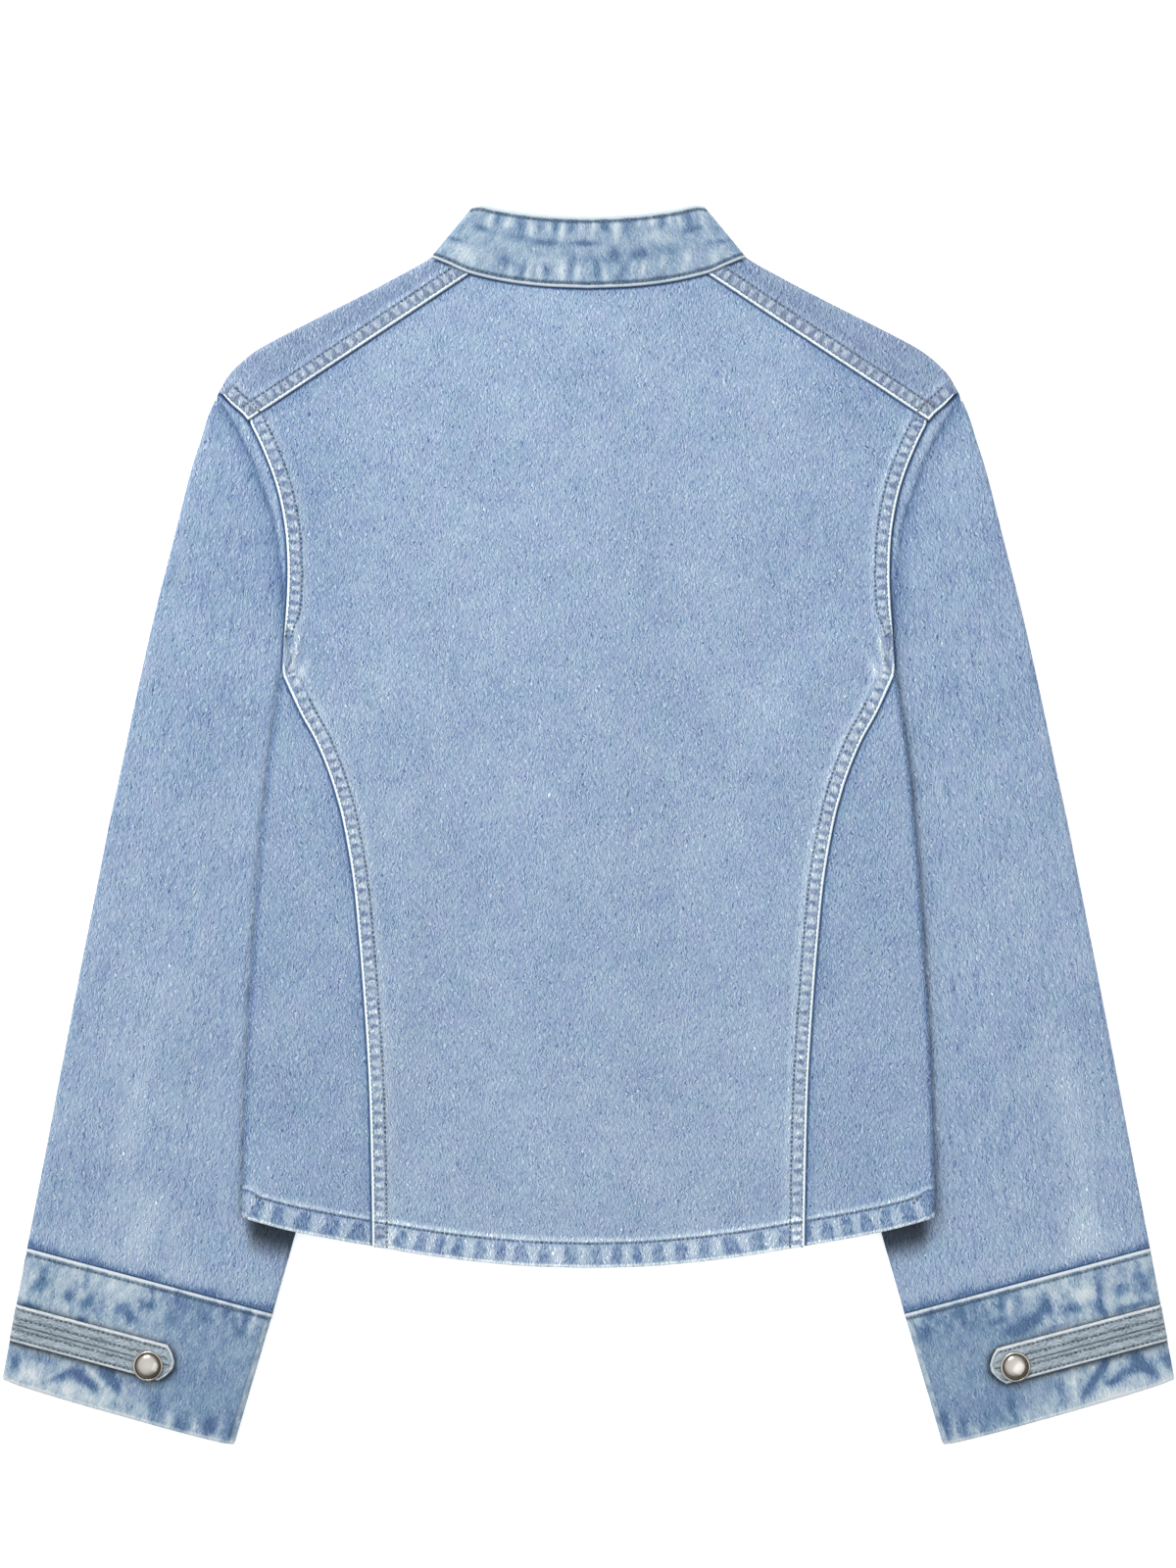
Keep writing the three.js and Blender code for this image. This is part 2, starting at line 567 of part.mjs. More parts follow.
// Sleeve: one piece of cloth from the seam edge on top, round the outer fold, and back under
function sleeve(name, side) {
  const inner = planPoints(SLEEVE_ROWS, "innerX", "innerY");
  const outer = planPoints(SLEEVE_ROWS, "outerX", "outerY");
  const across = [0.1, 0.26, 0.42, 0.58, 0.74, 0.9];
  const outerAngles = [90, 60, 30, 0, -30, -60, -90];
  const rowEnd = SLEEVE_ROWS.length - 1;
  const seamWay = outer[rowEnd].clone().sub(inner[rowEnd]).normalize();
  const offSeam = point(-seamWay.y, seamWay.x).multiplyScalar(HALF_GAP);
  const grids = [0, WALL].map((inset) =>
    SLEEVE_ROWS.map((row, j) => {
      const width = outer[j].distanceTo(inner[j]);
      const outwardOuter = outwardAt(outer, j, inner[j]);
      const outwardInner = outwardAt(inner, j, outer[j]);
      const drop = j > UNDERARM_ROW ? 1 : 0;
      const innerEdge = inner[j].clone().addScaledVector(outwardInner, -HALF_GAP * (1 - drop));
      const outerHigh = sleeveTop(outer[j].x - 6, outer[j].y);
      const outerRadius = Math.min(outerHigh / 2, 0.3 * width);
      const innerHigh = sleeveTop(inner[j].x + 4, inner[j].y);
      const innerRadius = drop ? innerHigh / 2 : 1.5;
      const start = innerEdge.clone().addScaledVector(outwardInner, -innerRadius);
      const end = outer[j].clone().addScaledVector(outwardOuter, -outerRadius);
      const shift = (p) => (j === rowEnd ? p.add(new THREE.Vector3(offSeam.x, offSeam.y, 0)) : p);
      const layer = (height) => across.map((share) => {
        const p = start.clone().lerp(end, share);
        return new THREE.Vector3(p.x, p.y, height(p));
      });
      const innerHalf = (degrees, flatHeight) => degrees.map((angle) => {
        if (drop) {
          const p = foldPoint(innerEdge, outwardInner, innerRadius, 0, innerHigh, angle, inset);
          p.z += angle ? 0 : Math.sign(flatHeight - 2) * HALF_GAP;
          return p;
        }
        const p = innerEdge.clone().lerp(start, Math.abs(angle) / 90);
        return new THREE.Vector3(p.x, p.y, flatHeight);
      });
      const topNear = innerHalf([0, 45, 90], innerHigh - inset);
      const top = layer((p) => sleeveTop(p.x, p.y) - inset);
      const turn = outerAngles.map((degrees) =>
        foldPoint(outer[j], outwardOuter, outerRadius, 0, outerHigh, degrees, inset));
      const under = layer(() => inset).reverse();
      const underNear = innerHalf([-90, -45, 0], inset);
      return [...topNear, ...top, ...turn, ...under, ...underNear].map(shift);
    }),
  );
  return wall(name, LIGHT_DENIM, mirrorGrid(grids[0], side), mirrorGrid(grids[1], side));
}

// Cuff: a closed flattened band of two layers
function cuff(name, side) {
  const inner = planPoints(CUFF_ROWS, "innerX", "innerY");
  const outer = planPoints(CUFF_ROWS, "outerX", "outerY");
  const across = [0.02, 0.2, 0.4, 0.6, 0.8, 0.98];
  const angles = [75, 45, 15, -15, -45, -75];
  const radius = CUFF_TOP / 2;
  const seamWay = outer[0].clone().sub(inner[0]).normalize();
  const offSeam = point(seamWay.y, -seamWay.x).multiplyScalar(HALF_GAP);
  const grids = [0, FOLDED_WALL].map((inset) =>
    CUFF_ROWS.map((row, j) => {
      const outwardOuter = outwardAt(outer, j, inner[j]);
      const outwardInner = outwardAt(inner, j, outer[j]);
      const start = inner[j].clone().addScaledVector(outwardInner, -radius);
      const end = outer[j].clone().addScaledVector(outwardOuter, -radius);
      const layer = (z) => across.map((share) => {
        const p = start.clone().lerp(end, share);
        return new THREE.Vector3(p.x, p.y, z);
      });
      const turn = (edge, outward, order) => order.map((degrees) =>
        foldPoint(edge, outward, radius, 0, CUFF_TOP, degrees, inset));
      const ring = [
        ...layer(CUFF_TOP - inset),
        ...turn(outer[j], outwardOuter, angles),
        ...layer(inset).reverse(),
        ...turn(inner[j], outwardInner, angles.slice().reverse()),
      ];
      return j ? ring : ring.map((p) => p.add(new THREE.Vector3(offSeam.x, offSeam.y, 0)));
    }),
  );
  return wall(name, DARK_DENIM, mirrorGrid(grids[0], side), mirrorGrid(grids[1], side), true);
}

// Cuff tab: from the outer fold of the cuff along its top, to a blunt point
function cuffTab(name, side, length) {
  const radius = CUFF_TOP / 2;
  const way = point(TAB_WAY.x, TAB_WAY.y).normalize();
  const sideways = point(-way.y, way.x);
  const [foldTop, foldEnd] = [CUFF_ROWS[1], CUFF_ROWS[2]];
  const alongFold = point(foldEnd.outerX - foldTop.outerX, foldEnd.outerY - foldTop.outerY).normalize();
  const flat = length - radius;
  const rows = [
    ...[40, 58, 76].map((degrees) => ({ degrees, half: TAB_HALF_WIDTH })),
    ...[0, 0.2, 0.4, 0.6, 0.8].map((share) => ({ reach: share * (flat - TAB_POINT), half: TAB_HALF_WIDTH })),
    { reach: flat - TAB_POINT, half: TAB_HALF_WIDTH },
    { reach: flat - 0.45 * TAB_POINT, half: 0.62 * TAB_HALF_WIDTH },
    { reach: flat, half: 0.16 * TAB_HALF_WIDTH },
  ];
  const across = [-1, -0.5, 0.08, 0.5, 1];
  const start = point(TAB_START.x, TAB_START.y);
  const grids = [TAB_CLEARANCE + TAB_WALL, TAB_CLEARANCE].map((off) =>
    rows.map(({ degrees, reach, half }) =>
      across.map((share) => {
        const base = start.clone().addScaledVector(reach > 0 ? sideways : alongFold, share * half);
        if (degrees === undefined) {
          const p = base.addScaledVector(way, radius + reach);
          return new THREE.Vector3(p.x, p.y, CUFF_TOP + off);
        }
        const angle = THREE.MathUtils.degToRad(degrees);
        const p = base.addScaledVector(way, radius - Math.cos(angle) * (radius + off));
        return new THREE.Vector3(p.x, p.y, radius + Math.sin(angle) * (radius + off));
      }),
    ),
  );
  return wall(name, LIGHT_DENIM, mirrorGrid(grids[0], side), mirrorGrid(grids[1], side));
}

// Metal button with a raised rim and a domed middle, its back at height 0
function button(name, segments) {
  const profile = [
    [0, 0], [7.4, 0], [BUTTON_RADIUS, 0.7], [BUTTON_RADIUS, 1.5], [8.0, 2.1], [7.3, 1.9], [6.8, 1.5],
    [5.4, 2.2], [2.6, BUTTON_HEIGHT], [0, BUTTON_HEIGHT],
  ].map(([radius, height]) => point(radius, height));
  const geometry = new THREE.LatheGeometry(profile, segments);
  geometry.rotateX(Math.PI / 2);
  const material = new THREE.MeshStandardMaterial({ color: BRUSHED_METAL, roughness: 0.35, metalness: 1 });
  const mesh = new THREE.Mesh(geometry, material);
  mesh.name = name;
  return mesh;
}

const jacket = new THREE.Group();
jacket.add(
  backCentre(),
  backSide("back_side_left", -1),
  backSide("back_side_right", 1),
  front("front_left", -1, LAP_LIFT),
  front("front_right", 1, BUTTON_LIFT),
  collar(),
);
for (const [word, side] of [["left", -1], ["right", 1]]) {
  jacket.add(sleeve(`sleeve_${word}`, side));
  jacket.add(cuff(`cuff_${word}`, side));
  jacket.add(cuffTab(`cuff_tab_${word}`, side, TAB_LENGTH[word]));
  const metal = button(`cuff_button_${word}`, 24);
  metal.position.set(side * TAB_BUTTON[word].x, TAB_BUTTON[word].y, CUFF_TOP + TAB_WALL + 0.7);
  jacket.add(metal);
}
// The front buttons face the table, under the lapped edge that they fasten
for (let k = 0; k < FRONT_BUTTONS.count; k++) {
  const metal = button(`front_button_${k + 1}`, 16);
  metal.rotation.x = Math.PI;
  metal.position.set(0, FRONT_BUTTONS.top - k * FRONT_BUTTONS.spacing, BUTTON_HEIGHT);
  jacket.add(metal);
}

export default jacket;
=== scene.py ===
# %% [markdown]
# # A washed denim jacket, laid flat with its back upwards
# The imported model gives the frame: every cut piece, at its real size. This lesson dresses it. Each piece of
# cloth is made again as a thin shell on a fine grid, so that its folded edges, felled seams and hem stand up
# in the light, and each vertex carries its place on the cloth for the denim to read.

# %% Load the frame
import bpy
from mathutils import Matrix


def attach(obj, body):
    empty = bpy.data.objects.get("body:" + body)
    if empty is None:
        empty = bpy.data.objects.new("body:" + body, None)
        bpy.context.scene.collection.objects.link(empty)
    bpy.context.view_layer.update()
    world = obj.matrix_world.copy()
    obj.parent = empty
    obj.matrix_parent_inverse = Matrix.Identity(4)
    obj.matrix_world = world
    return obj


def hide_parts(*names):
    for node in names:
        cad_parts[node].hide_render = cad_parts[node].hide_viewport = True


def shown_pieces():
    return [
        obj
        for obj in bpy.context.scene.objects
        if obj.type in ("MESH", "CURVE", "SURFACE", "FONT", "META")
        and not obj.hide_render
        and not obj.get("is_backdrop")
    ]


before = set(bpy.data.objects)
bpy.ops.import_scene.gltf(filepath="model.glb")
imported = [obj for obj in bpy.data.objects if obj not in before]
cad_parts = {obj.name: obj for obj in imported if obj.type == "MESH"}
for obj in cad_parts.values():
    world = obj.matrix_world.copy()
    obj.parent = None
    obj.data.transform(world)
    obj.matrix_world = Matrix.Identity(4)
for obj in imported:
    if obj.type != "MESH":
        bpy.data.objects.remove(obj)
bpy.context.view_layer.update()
import math
import bpy
import numpy as np
from mathutils import Vector
from mathutils.bvhtree import BVHTree

# %% [markdown]
# ## Camera
# The photo looks straight down, and its 1200 by 1600 pixels cover 672 by 896 mm of the table. A camera far
# above with a long lens keeps that plan undistorted; the lens follows from the height by similar triangles.

# %% Camera straight above
MM = 0.001
PHOTO_TALL = 896.0
PHOTO_MIDDLE = (-0.3, 23.0)
CAMERA_HEIGHT = 3.0
CLOTH_LEVEL = 0.006
camera_data = bpy.data.cameras.new("camera")
camera_data.sensor_fit = "AUTO"
camera_data.sensor_width = 36.0
camera_data.lens = camera_data.sensor_width / (PHOTO_TALL * MM) * (CAMERA_HEIGHT - CLOTH_LEVEL)
camera_data.clip_end = 20.0
camera = bpy.data.objects.new("camera", camera_data)
camera.location = (PHOTO_MIDDLE[0] * MM, PHOTO_MIDDLE[1] * MM, CAMERA_HEIGHT)
bpy.context.scene.collection.objects.link(camera)
bpy.context.scene.camera = camera
print("lens", round(camera_data.lens, 1), "mm")

# %% [markdown]
# ## The pattern pieces
# A jacket is drawn flat before it is sewn. These short tables are its lines in millimetres, for the wearer's
# right half; the left half mirrors them. A Catmull-Rom curve runs through each table, as a tailor's curve
# does.

# %% Lines of the cut
ARMHOLE = [(211.4, 246.8), (203.2, 239.2), (194.5, 230.7), (185.0, 211.5), (177.6, 190.5), (173.3, 168.0),
           (172.0, 146.0), (172.6, 124.0), (174.0, 104.0), (175.0, 87.0)]
BACK_SEAM = [(174.2, 84.5), (164.6, 63.6), (156.2, 48.4), (149.2, 32.0), (143.8, 15.5), (139.6, -1.5),
             (134.4, -32.0), (131.2, -64.0), (128.3, -100.0), (125.6, -143.0), (124.3, -184.0),
             (123.6, -225.0), (123.5, -241.0)]
SIDE = [(176.2, 84.0), (179.1, 63.6), (181.3, 48.4), (183.5, 32.0), (185.1, 15.5), (186.6, -1.5),
        (189.0, -30.0), (191.1, -61.0), (193.3, -95.0), (195.6, -135.0), (196.7, -172.0), (197.4, -207.0),
        (197.7, -222.5)]
HEM = [(0.0, -253.4), (41.7, -252.0), (84.5, -247.5), (123.5, -241.0), (167.4, -232.6), (190.0, -226.6),
       (196.0, -224.6), (197.7, -222.5)]
BACK_NECK = [(0.0, 306.0), (25.0, 307.1), (47.5, 310.0), (68.0, 314.7)]
SHOULDER_FOLD = [(88.2, 325.5), (90.3, 324.2), (97.5, 319.6), (128.5, 303.0), (155.1, 289.5), (181.2, 276.1),
                 (192.4, 269.4), (200.5, 262.6), (206.6, 255.9), (211.4, 246.8)]
FRONT_NECK = [(0.6, 246.6), (18.0, 247.0), (50.0, 256.0), (70.0, 273.0), (83.0, 296.0)]
# Sleeve sections from the shoulder to the cuff: inner end, outer end
SLEEVE = [(211.8, 246.0, 213.8, 242.2), (203.2, 239.2, 217.8, 233.0), (194.5, 230.7, 221.9, 219.5),
          (185.0, 211.5, 226.6, 205.0), (177.6, 190.5, 231.3, 187.0), (173.3, 168.0, 236.2, 167.5),
          (172.0, 146.0, 241.0, 148.5), (172.6, 124.0, 246.0, 129.0), (174.0, 104.0, 250.8, 109.0),
          (175.0, 87.0, 255.0, 90.0), (162.0, 79.0, 258.5, 74.0), (145.0, 62.0, 262.5, 55.0),
          (132.0, 35.0, 267.5, 31.0), (127.0, -5.0, 274.2, 0.0), (129.0, -55.0, 281.3, -36.0),
          (137.0, -110.0, 290.0, -80.0), (150.0, -170.0, 300.4, -134.0), (167.3, -233.0, 312.0, -195.0),
          (180.7, -280.0, 321.2, -242.5)]
UNDERARM_ROW = 9
CUFF_INNER = [(180.7, -280.0), (202.6, -354.8)]
CUFF_OUTER = [(321.2, -242.5), (335.2, -317.5)]
print("tables:", len(ARMHOLE), "armhole points,", len(SLEEVE), "sleeve sections")

# %% Curves through the tables
def smooth(points, step=4.0):
    """A dense line through table points, as a Catmull-Rom curve."""
    p = np.array(points, float)
    p = np.vstack([2 * p[0] - p[1], p, 2 * p[-1] - p[-2]])
    spans = []
    for a, b, c, d in zip(p, p[1:], p[2:], p[3:]):
        count = max(2, int(np.linalg.norm(c[:2] - b[:2]) / step))
        t = np.linspace(0, 1, count, endpoint=False)[:, None]
        spans.append(0.5 * (2 * b + (c - a) * t + (2 * a - 5 * b + 4 * c - d) * t**2
                            + (3 * b - a - 3 * c + d) * t**3))
    return np.vstack(spans + [p[-2:-1]])


def run_of(line):
    """Length along a line up to each of its points."""
    return np.concatenate([[0], np.cumsum(np.linalg.norm(np.diff(line[:, :2], axis=0), axis=1))])


def at(line, share):
    """Points of a line at shares of its length."""
    run = run_of(line)
    return np.stack([np.interp(np.asarray(share) * run[-1], run, column) for column in line.T], -1)


def nearest(line, x, y):
    """Distance from points to a line, and how far along the line they lie."""
    shape = np.shape(x)
    points = np.stack([np.ravel(x), np.ravel(y)], 1)
    start, way = line[:-1], np.diff(line, axis=0)
    run = run_of(line)
    away, along = np.empty(len(points)), np.empty(len(points))
    for first in range(0, len(points), 4000):
        part = points[first:first + 4000, None]
        share = np.clip(((part - start) * way).sum(-1) / (way**2).sum(-1), 0, 1)
        gap = np.linalg.norm(part - start - share[..., None] * way, axis=-1)
        best = gap.argmin(1)
        rows = np.arange(len(best))
        away[first:first + 4000] = gap[rows, best]
        along[first:first + 4000] = run[best] + share[rows, best] * (run[best + 1] - run[best])
    return away.reshape(shape), along.reshape(shape)


def ease(value, low, high):
    """0 below low, 1 above high, and a smooth step between them."""
    t = np.clip((value - low) / (high - low), 0, 1)
    return t * t * (3 - 2 * t)


armhole, back_seam, side_fold = smooth(ARMHOLE), smooth(BACK_SEAM), smooth(SIDE)
hem = smooth(HEM)
back_neck = smooth(BACK_NECK)
shoulder_seam = np.array([BACK_NECK[-1], ARMHOLE[2]])
shoulder_fold = smooth(SHOULDER_FOLD)
sleeve_rows = np.array(SLEEVE)
hidden_fold = smooth(sleeve_rows[UNDERARM_ROW:, :2])
underarm = armhole[-1]
hem_corner = side_fold[-1]
print("armhole", round(run_of(armhole)[-1]), "mm, curved seam", round(run_of(back_seam)[-1]), "mm")

# %% [markdown]
# ## How high each layer lies
# Cloth laid on a table takes the shape of what is under it: the lapped fronts and their buttons lift the
# middle of the back, and the hidden part of each sleeve lifts the sides. These functions give the heights.

# %% Heights of the layers
FLAT_TOP, CENTRE_RISE, SIDE_RISE, SIDE_UNDER = 6.2, 2.6, 2.8, 4.6
CORNER_CURL, CURL_REACH = 4.0, 60.0
SLEEVE_TUCKED, SLEEVE_AT_ARMHOLE, SLEEVE_TOP = 4.0, 5.3, 6.2
CUFF_TOP = 7.0
WALL = 1.0
COLLAR_WALL = 2.4
RIPPLE_SEED = 11
waves = np.random.default_rng(RIPPLE_SEED).uniform(-1, 1, (9, 3))


def ripple(x, y, height):
    """Slow, uneven swells of cloth that was smoothed by hand."""
    total = 0
    for turn, size, start in waves:
        length = 95 + 55 * size
        ahead = x * math.cos(3 * turn) + y * math.sin(3 * turn)
        total = total + np.sin(2 * math.pi * ahead / length + 9 * start)
    return height * total / 3


def over_sleeve(x, y):
    """1 over the hidden part of a sleeve, falling to 0 away from it."""
    side = np.abs(x)
    lift = 1 - ease(nearest(hidden_fold, side, y)[0], 22, 54)
    inside = (y < underarm[1]) & (side > np.interp(-y, -hidden_fold[:, 1], hidden_fold[:, 0]))
    return np.where(inside, 1.0, lift)


def corner_curl(x, y):
    """The hem corners lift off the sleeves."""
    reach = np.hypot(np.abs(x) - hem_corner[0], y - hem_corner[1])
    return CORNER_CURL * (1 - ease(reach, 0, CURL_REACH))


def body_top(x, y):
    """Outside of the back."""
    centre = 1 - ease(np.abs(x), 10, 58)
    return FLAT_TOP + CENTRE_RISE * centre + SIDE_RISE * over_sleeve(x, y) + corner_curl(x, y)


def body_under(x, y, lap_lift):
    """Outside of a front, which faces the table."""
    lap = lap_lift * (1 - ease(np.abs(x), 40, 66))
    return np.maximum(lap, SIDE_UNDER * over_sleeve(x, y) + corner_curl(x, y))


def sleeve_top(x, y):
    """Upper side of a sleeve."""
    side = np.abs(x)
    edge = np.where(y > underarm[1], np.interp(-y, -armhole[:, 1], armhole[:, 0]),
                    np.interp(-y, -side_fold[:, 1], side_fold[:, 0]))
    tucked = SLEEVE_TUCKED + (SLEEVE_AT_ARMHOLE - SLEEVE_TUCKED) * ease(y, 90, 145)
    at_edge = tucked + (SLEEVE_TOP - tucked) * ease(-y, 232, 262)
    return at_edge + (SLEEVE_TOP - at_edge) * ease(side - edge, 8, 48)


print("back over the buttons:", float(body_top(np.array(0.0), np.array(0.0))), "mm up")

# %% [markdown]
# ## Felled seams and hems
# On a felled seam one panel's edge is folded under and lies on its neighbour, held by two rows of stitches.
# The cloth shrinks in the wash and the thread doesn't, so it puffs between the rows in short puckers, which
# then fade. The profile below gives the rise of the outer face at a distance from the folded edge.

# %% Profiles of seams, hems and tucked edges
FIRST_ROW, SECOND_ROW = 1.7, 8.3
PUCKER = 6.0
HEM_ROW = 14.0
HEM_PUCKER = 13.2
TUCK = 3.6


def hump(value, middle, width):
    """A smooth bump, 1 at its middle."""
    return np.exp(-((value - middle) / width) ** 2)


def rounded(away, radius):
    """A quarter round: 0 at the edge, 1 from its radius on."""
    return np.sqrt(np.clip(1 - (1 - np.clip(away / radius, 0, 1)) ** 2, 0, 1))


def felled(away, run):
    """Rise of a lapped, twice stitched edge."""
    body = 1.35 * rounded(away, 0.9) * (1 - ease(away, SECOND_ROW - 0.2, SECOND_ROW + 3.2))
    puff = 0.28 * np.sin(2 * math.pi * run / PUCKER + 2.2 * np.sin(run / 19)) * hump(away, 5.0, 2.2)
    grooves = 0.35 * hump(away, FIRST_ROW, 0.45) + 0.5 * hump(away, SECOND_ROW, 0.6)
    return body + puff - grooves - 0.55 * (away <= 0)


def hemmed(away, run):
    """Rise of a turned-up hem with one row of stitches."""
    body = rounded(away, 1.2) * (1 - ease(away, HEM_ROW + 0.3, HEM_ROW + 2.0))
    puff = 0.3 * np.sin(2 * math.pi * run / HEM_PUCKER + 2.5 * np.sin(run / 31)) * hump(away, 7.5, 4.5)
    ridge = 0.35 * hump(away, HEM_ROW + 2.4, 1.4)
    return body + puff + ridge - 0.55 * hump(away, HEM_ROW, 0.7) - 0.5 * (away <= 0)


def tucked(away):
    """Drop of a panel beside and under the edge that lies on it; away is below 0 under that edge."""
    return -0.35 * np.exp(-np.clip(away, 0, None) / 2.0) - 1.25 * ease(-away, 0.0, 1.4)


def strokes(x, y, places):
    """Sum of soft strokes; each is (x, y, length, width, degrees, strength)."""
    total = np.zeros(np.shape(x))
    for middle_x, middle_y, long, wide, turn, strength in places:
        c, s = math.cos(math.radians(turn)), math.sin(math.radians(turn))
        along = (x - middle_x) * c + (y - middle_y) * s
        across = (y - middle_y) * c - (x - middle_x) * s
        total += strength * np.exp(-(along / long) ** 2 - (across / wide) ** 2)
    return total


# Places of the grid lines beside each kind of edge, close together where its profile bends most
ACROSS_SEAM = np.array([0, 0.2, 0.5, 0.9, 1.3, 1.7, 2.3, 3.2, 4.4, 5.6, 6.8, 7.7, 8.3, 8.9, 9.9, 11.5, 13.5])
ACROSS_HEM = np.array([0, 0.3, 0.7, 1.2, 2.2, 4, 6, 8, 10, 12, 13.2, 14, 14.8, 15.8, 17.2, 19])
ACROSS_TUCK = np.array([0, 1.2, 2.2, 3.0, 3.6, 4.2, 5.2, 6.6, 8.6])
BAND_EDGE = (0, 0.2, 0.5, 0.9, 1.4, 2.0, 2.6, 3.2, 4.2)


def shares(length, middle, first=(0,), last=(0,)):
    """Shares of a length: fixed distances at both ends and an even spread between them."""
    scale = min(1, 0.45 * length / max(first[-1], last[-1], 1e-6)) if max(first[-1], last[-1]) else 1
    start, end = np.array(first) * scale / length, 1 - np.array(last)[::-1] * scale / length
    return np.concatenate([start, np.linspace(start[-1], end[0], middle + 2)[1:-1], end])


def patch(bottom, top, left, right, us, vs):
    """Points between four lines (a Coons patch). us holds a row of shares for each share in vs."""
    v = vs[:, None, None]
    u = us[..., None]
    low, high = at(bottom, us), at(top, us)
    start, end = at(left, vs)[:, None], at(right, vs)[:, None]
    corners = ((1 - u) * (1 - v) * left[0] + u * (1 - v) * right[0]
               + (1 - u) * v * left[-1] + u * v * right[-1])
    return (1 - v) * low + v * high + (1 - u) * start + u * end - corners


print("seam grid columns:", len(ACROSS_SEAM), "hem grid rows:", len(ACROSS_HEM))

# %% [markdown]
# ## From grids to shells
# A real panel has two faces and a cut or folded rim. One function joins an outer and an inner grid into a
# closed shell, and stores on its vertices what the denim reads: `cloth`, the place on the flat cloth in
# millimetres; `seam` and `hem`, the distance from such an edge and the run along it; `tuck`, the distance
# from an edge that lies on this panel; `wear_and_shade`, how worn it is together with painted shade and
# painted highlight; `wear`, how worn it is; `painted_shade`, how dark painted shade makes a hollow or a place
# under an edge; `calm`, where a seam has no puckers; and `dull`, how grey the wash left it.

# %% Shell builder
PLAIN = {"seam": (60.0, 0.0), "hem": (60.0, 0.0), "tuck": 60.0, "wear_and_shade": 0.0, "wear": 0.0, "painted_shade": 0.0,
         "calm": 0.0, "dull": 0.0}


def shell(name, outer, inner, looks, ring=False):
    """A closed shell object from two grids of points in millimetres."""
    rows, columns = outer.shape[:2]
    count = rows * columns
    wide = columns if ring else columns - 1
    j, i = (grid.ravel() for grid in np.meshgrid(range(rows - 1), range(wide), indexing="ij"))
    a, b = j * columns + i, j * columns + (i + 1) % columns
    face = np.stack([a, b, b + columns, a + columns], 1)
    rim = [np.stack([np.arange(wide), (np.arange(wide) + 1) % columns], 1),
           np.stack([(np.arange(wide) + 1) % columns, np.arange(wide)], 1) + (rows - 1) * columns]
    if not ring:
        up = np.arange(rows - 1) * columns
        rim += [np.stack([up + columns, up], 1), np.stack([up, up + columns], 1) + columns - 1]
    rim = np.vstack(rim)
    rim = np.stack([rim[:, 1], rim[:, 0], rim[:, 0] + count, rim[:, 1] + count], 1)
    faces = np.vstack([face, face[:, ::-1] + count, rim])
    points = np.concatenate([outer.reshape(-1, 3), inner.reshape(-1, 3)]) * MM
    corner = points[faces]
    volume = (np.cross(corner[:, 0], corner[:, 1]) * corner[:, 2]).sum() \
        + (np.cross(corner[:, 0], corner[:, 2]) * corner[:, 3]).sum()
    if volume < 0:
        faces = faces[:, ::-1]
    mesh = bpy.data.meshes.new(name)
    mesh.from_pydata(points.tolist(), [], faces.tolist())
    for key, value in {**PLAIN, **looks}.items():
        value = np.asarray(value, float)
        value = np.broadcast_to(value, (rows, columns) + (value.shape[2:] if value.ndim > 1 else value.shape))
        flat = np.concatenate([value.reshape(count, -1)] * 2)
        if flat.shape[1] == 1:
            mesh.attributes.new(key, "FLOAT", "POINT").data.foreach_set("value", flat.ravel())
        else:
            flat = np.hstack([flat, np.zeros((len(flat), 3 - flat.shape[1]))])
            mesh.attributes.new(key, "FLOAT_VECTOR", "POINT").data.foreach_set("vector", flat.ravel())
    mesh.shade_smooth()
    made = bpy.data.objects.new(name, mesh)
    bpy.context.scene.collection.objects.link(made)
    return made


def area_of(made):
    """Area of all faces of an object, in square metres."""
    return sum(polygon.area for polygon in made.data.polygons)


def pair(*grids):
    """Grids of numbers as one grid of points."""
    return np.stack(np.broadcast_arrays(*grids), -1)


def flip(grid, side):
    """A grid, or its mirror image where side is -1."""
    return grid * np.array([side, 1, 1])


def girth_of(grid):
    """Length along each row of a grid of points."""
    steps = np.linalg.norm(np.diff(grid, axis=1), axis=2)
    return np.cumsum(np.hstack([np.zeros((len(grid), 1)), steps]), axis=1)


print("every vertex carries:", ", ".join(["cloth", *PLAIN]))

# %% [markdown]
# ## Back
# The back is one panel between two curved seams. Its sides are folded edges that lie on the side panels and
# sleeves, and its top runs under the collar and the shoulder pieces. A Coons patch keeps the grid parallel
# to all four edges, so a seam's profile follows its curve exactly.

# %% Back panel
# Strokes at the underarm: what stands up, what is pale, and where painted shade darkens the pinch
UNDERARM_RIDGE = [(166.6, 100, 12, 1.5, 106, 0.8), (171.5, 106, 9, 1.0, 84, -0.5),
                  (171.5, 91, 6, 1.0, 118, -0.4)]
UNDERARM_PALE = [(167.2, 100, 13, 2.0, 104, 0.42), (163, 88, 9, 2.6, 112, 0.26),
                 (170.4, 106, 8, 1.2, 84, -0.25), (171.2, 92, 7, 1.2, 112, -0.3),
                 (163.5, 106, 6, 0.9, 68, -0.2), (170.5, 113, 5, 1.6, 60, 0.3)]
UNDERARM_SHADE = [(171.9, 103, 10, 0.8, 84, 0.5), (170.8, 91, 6, 0.8, 118, 0.45),
                 (168.6, 98, 7, 0.6, 100, 0.3)]


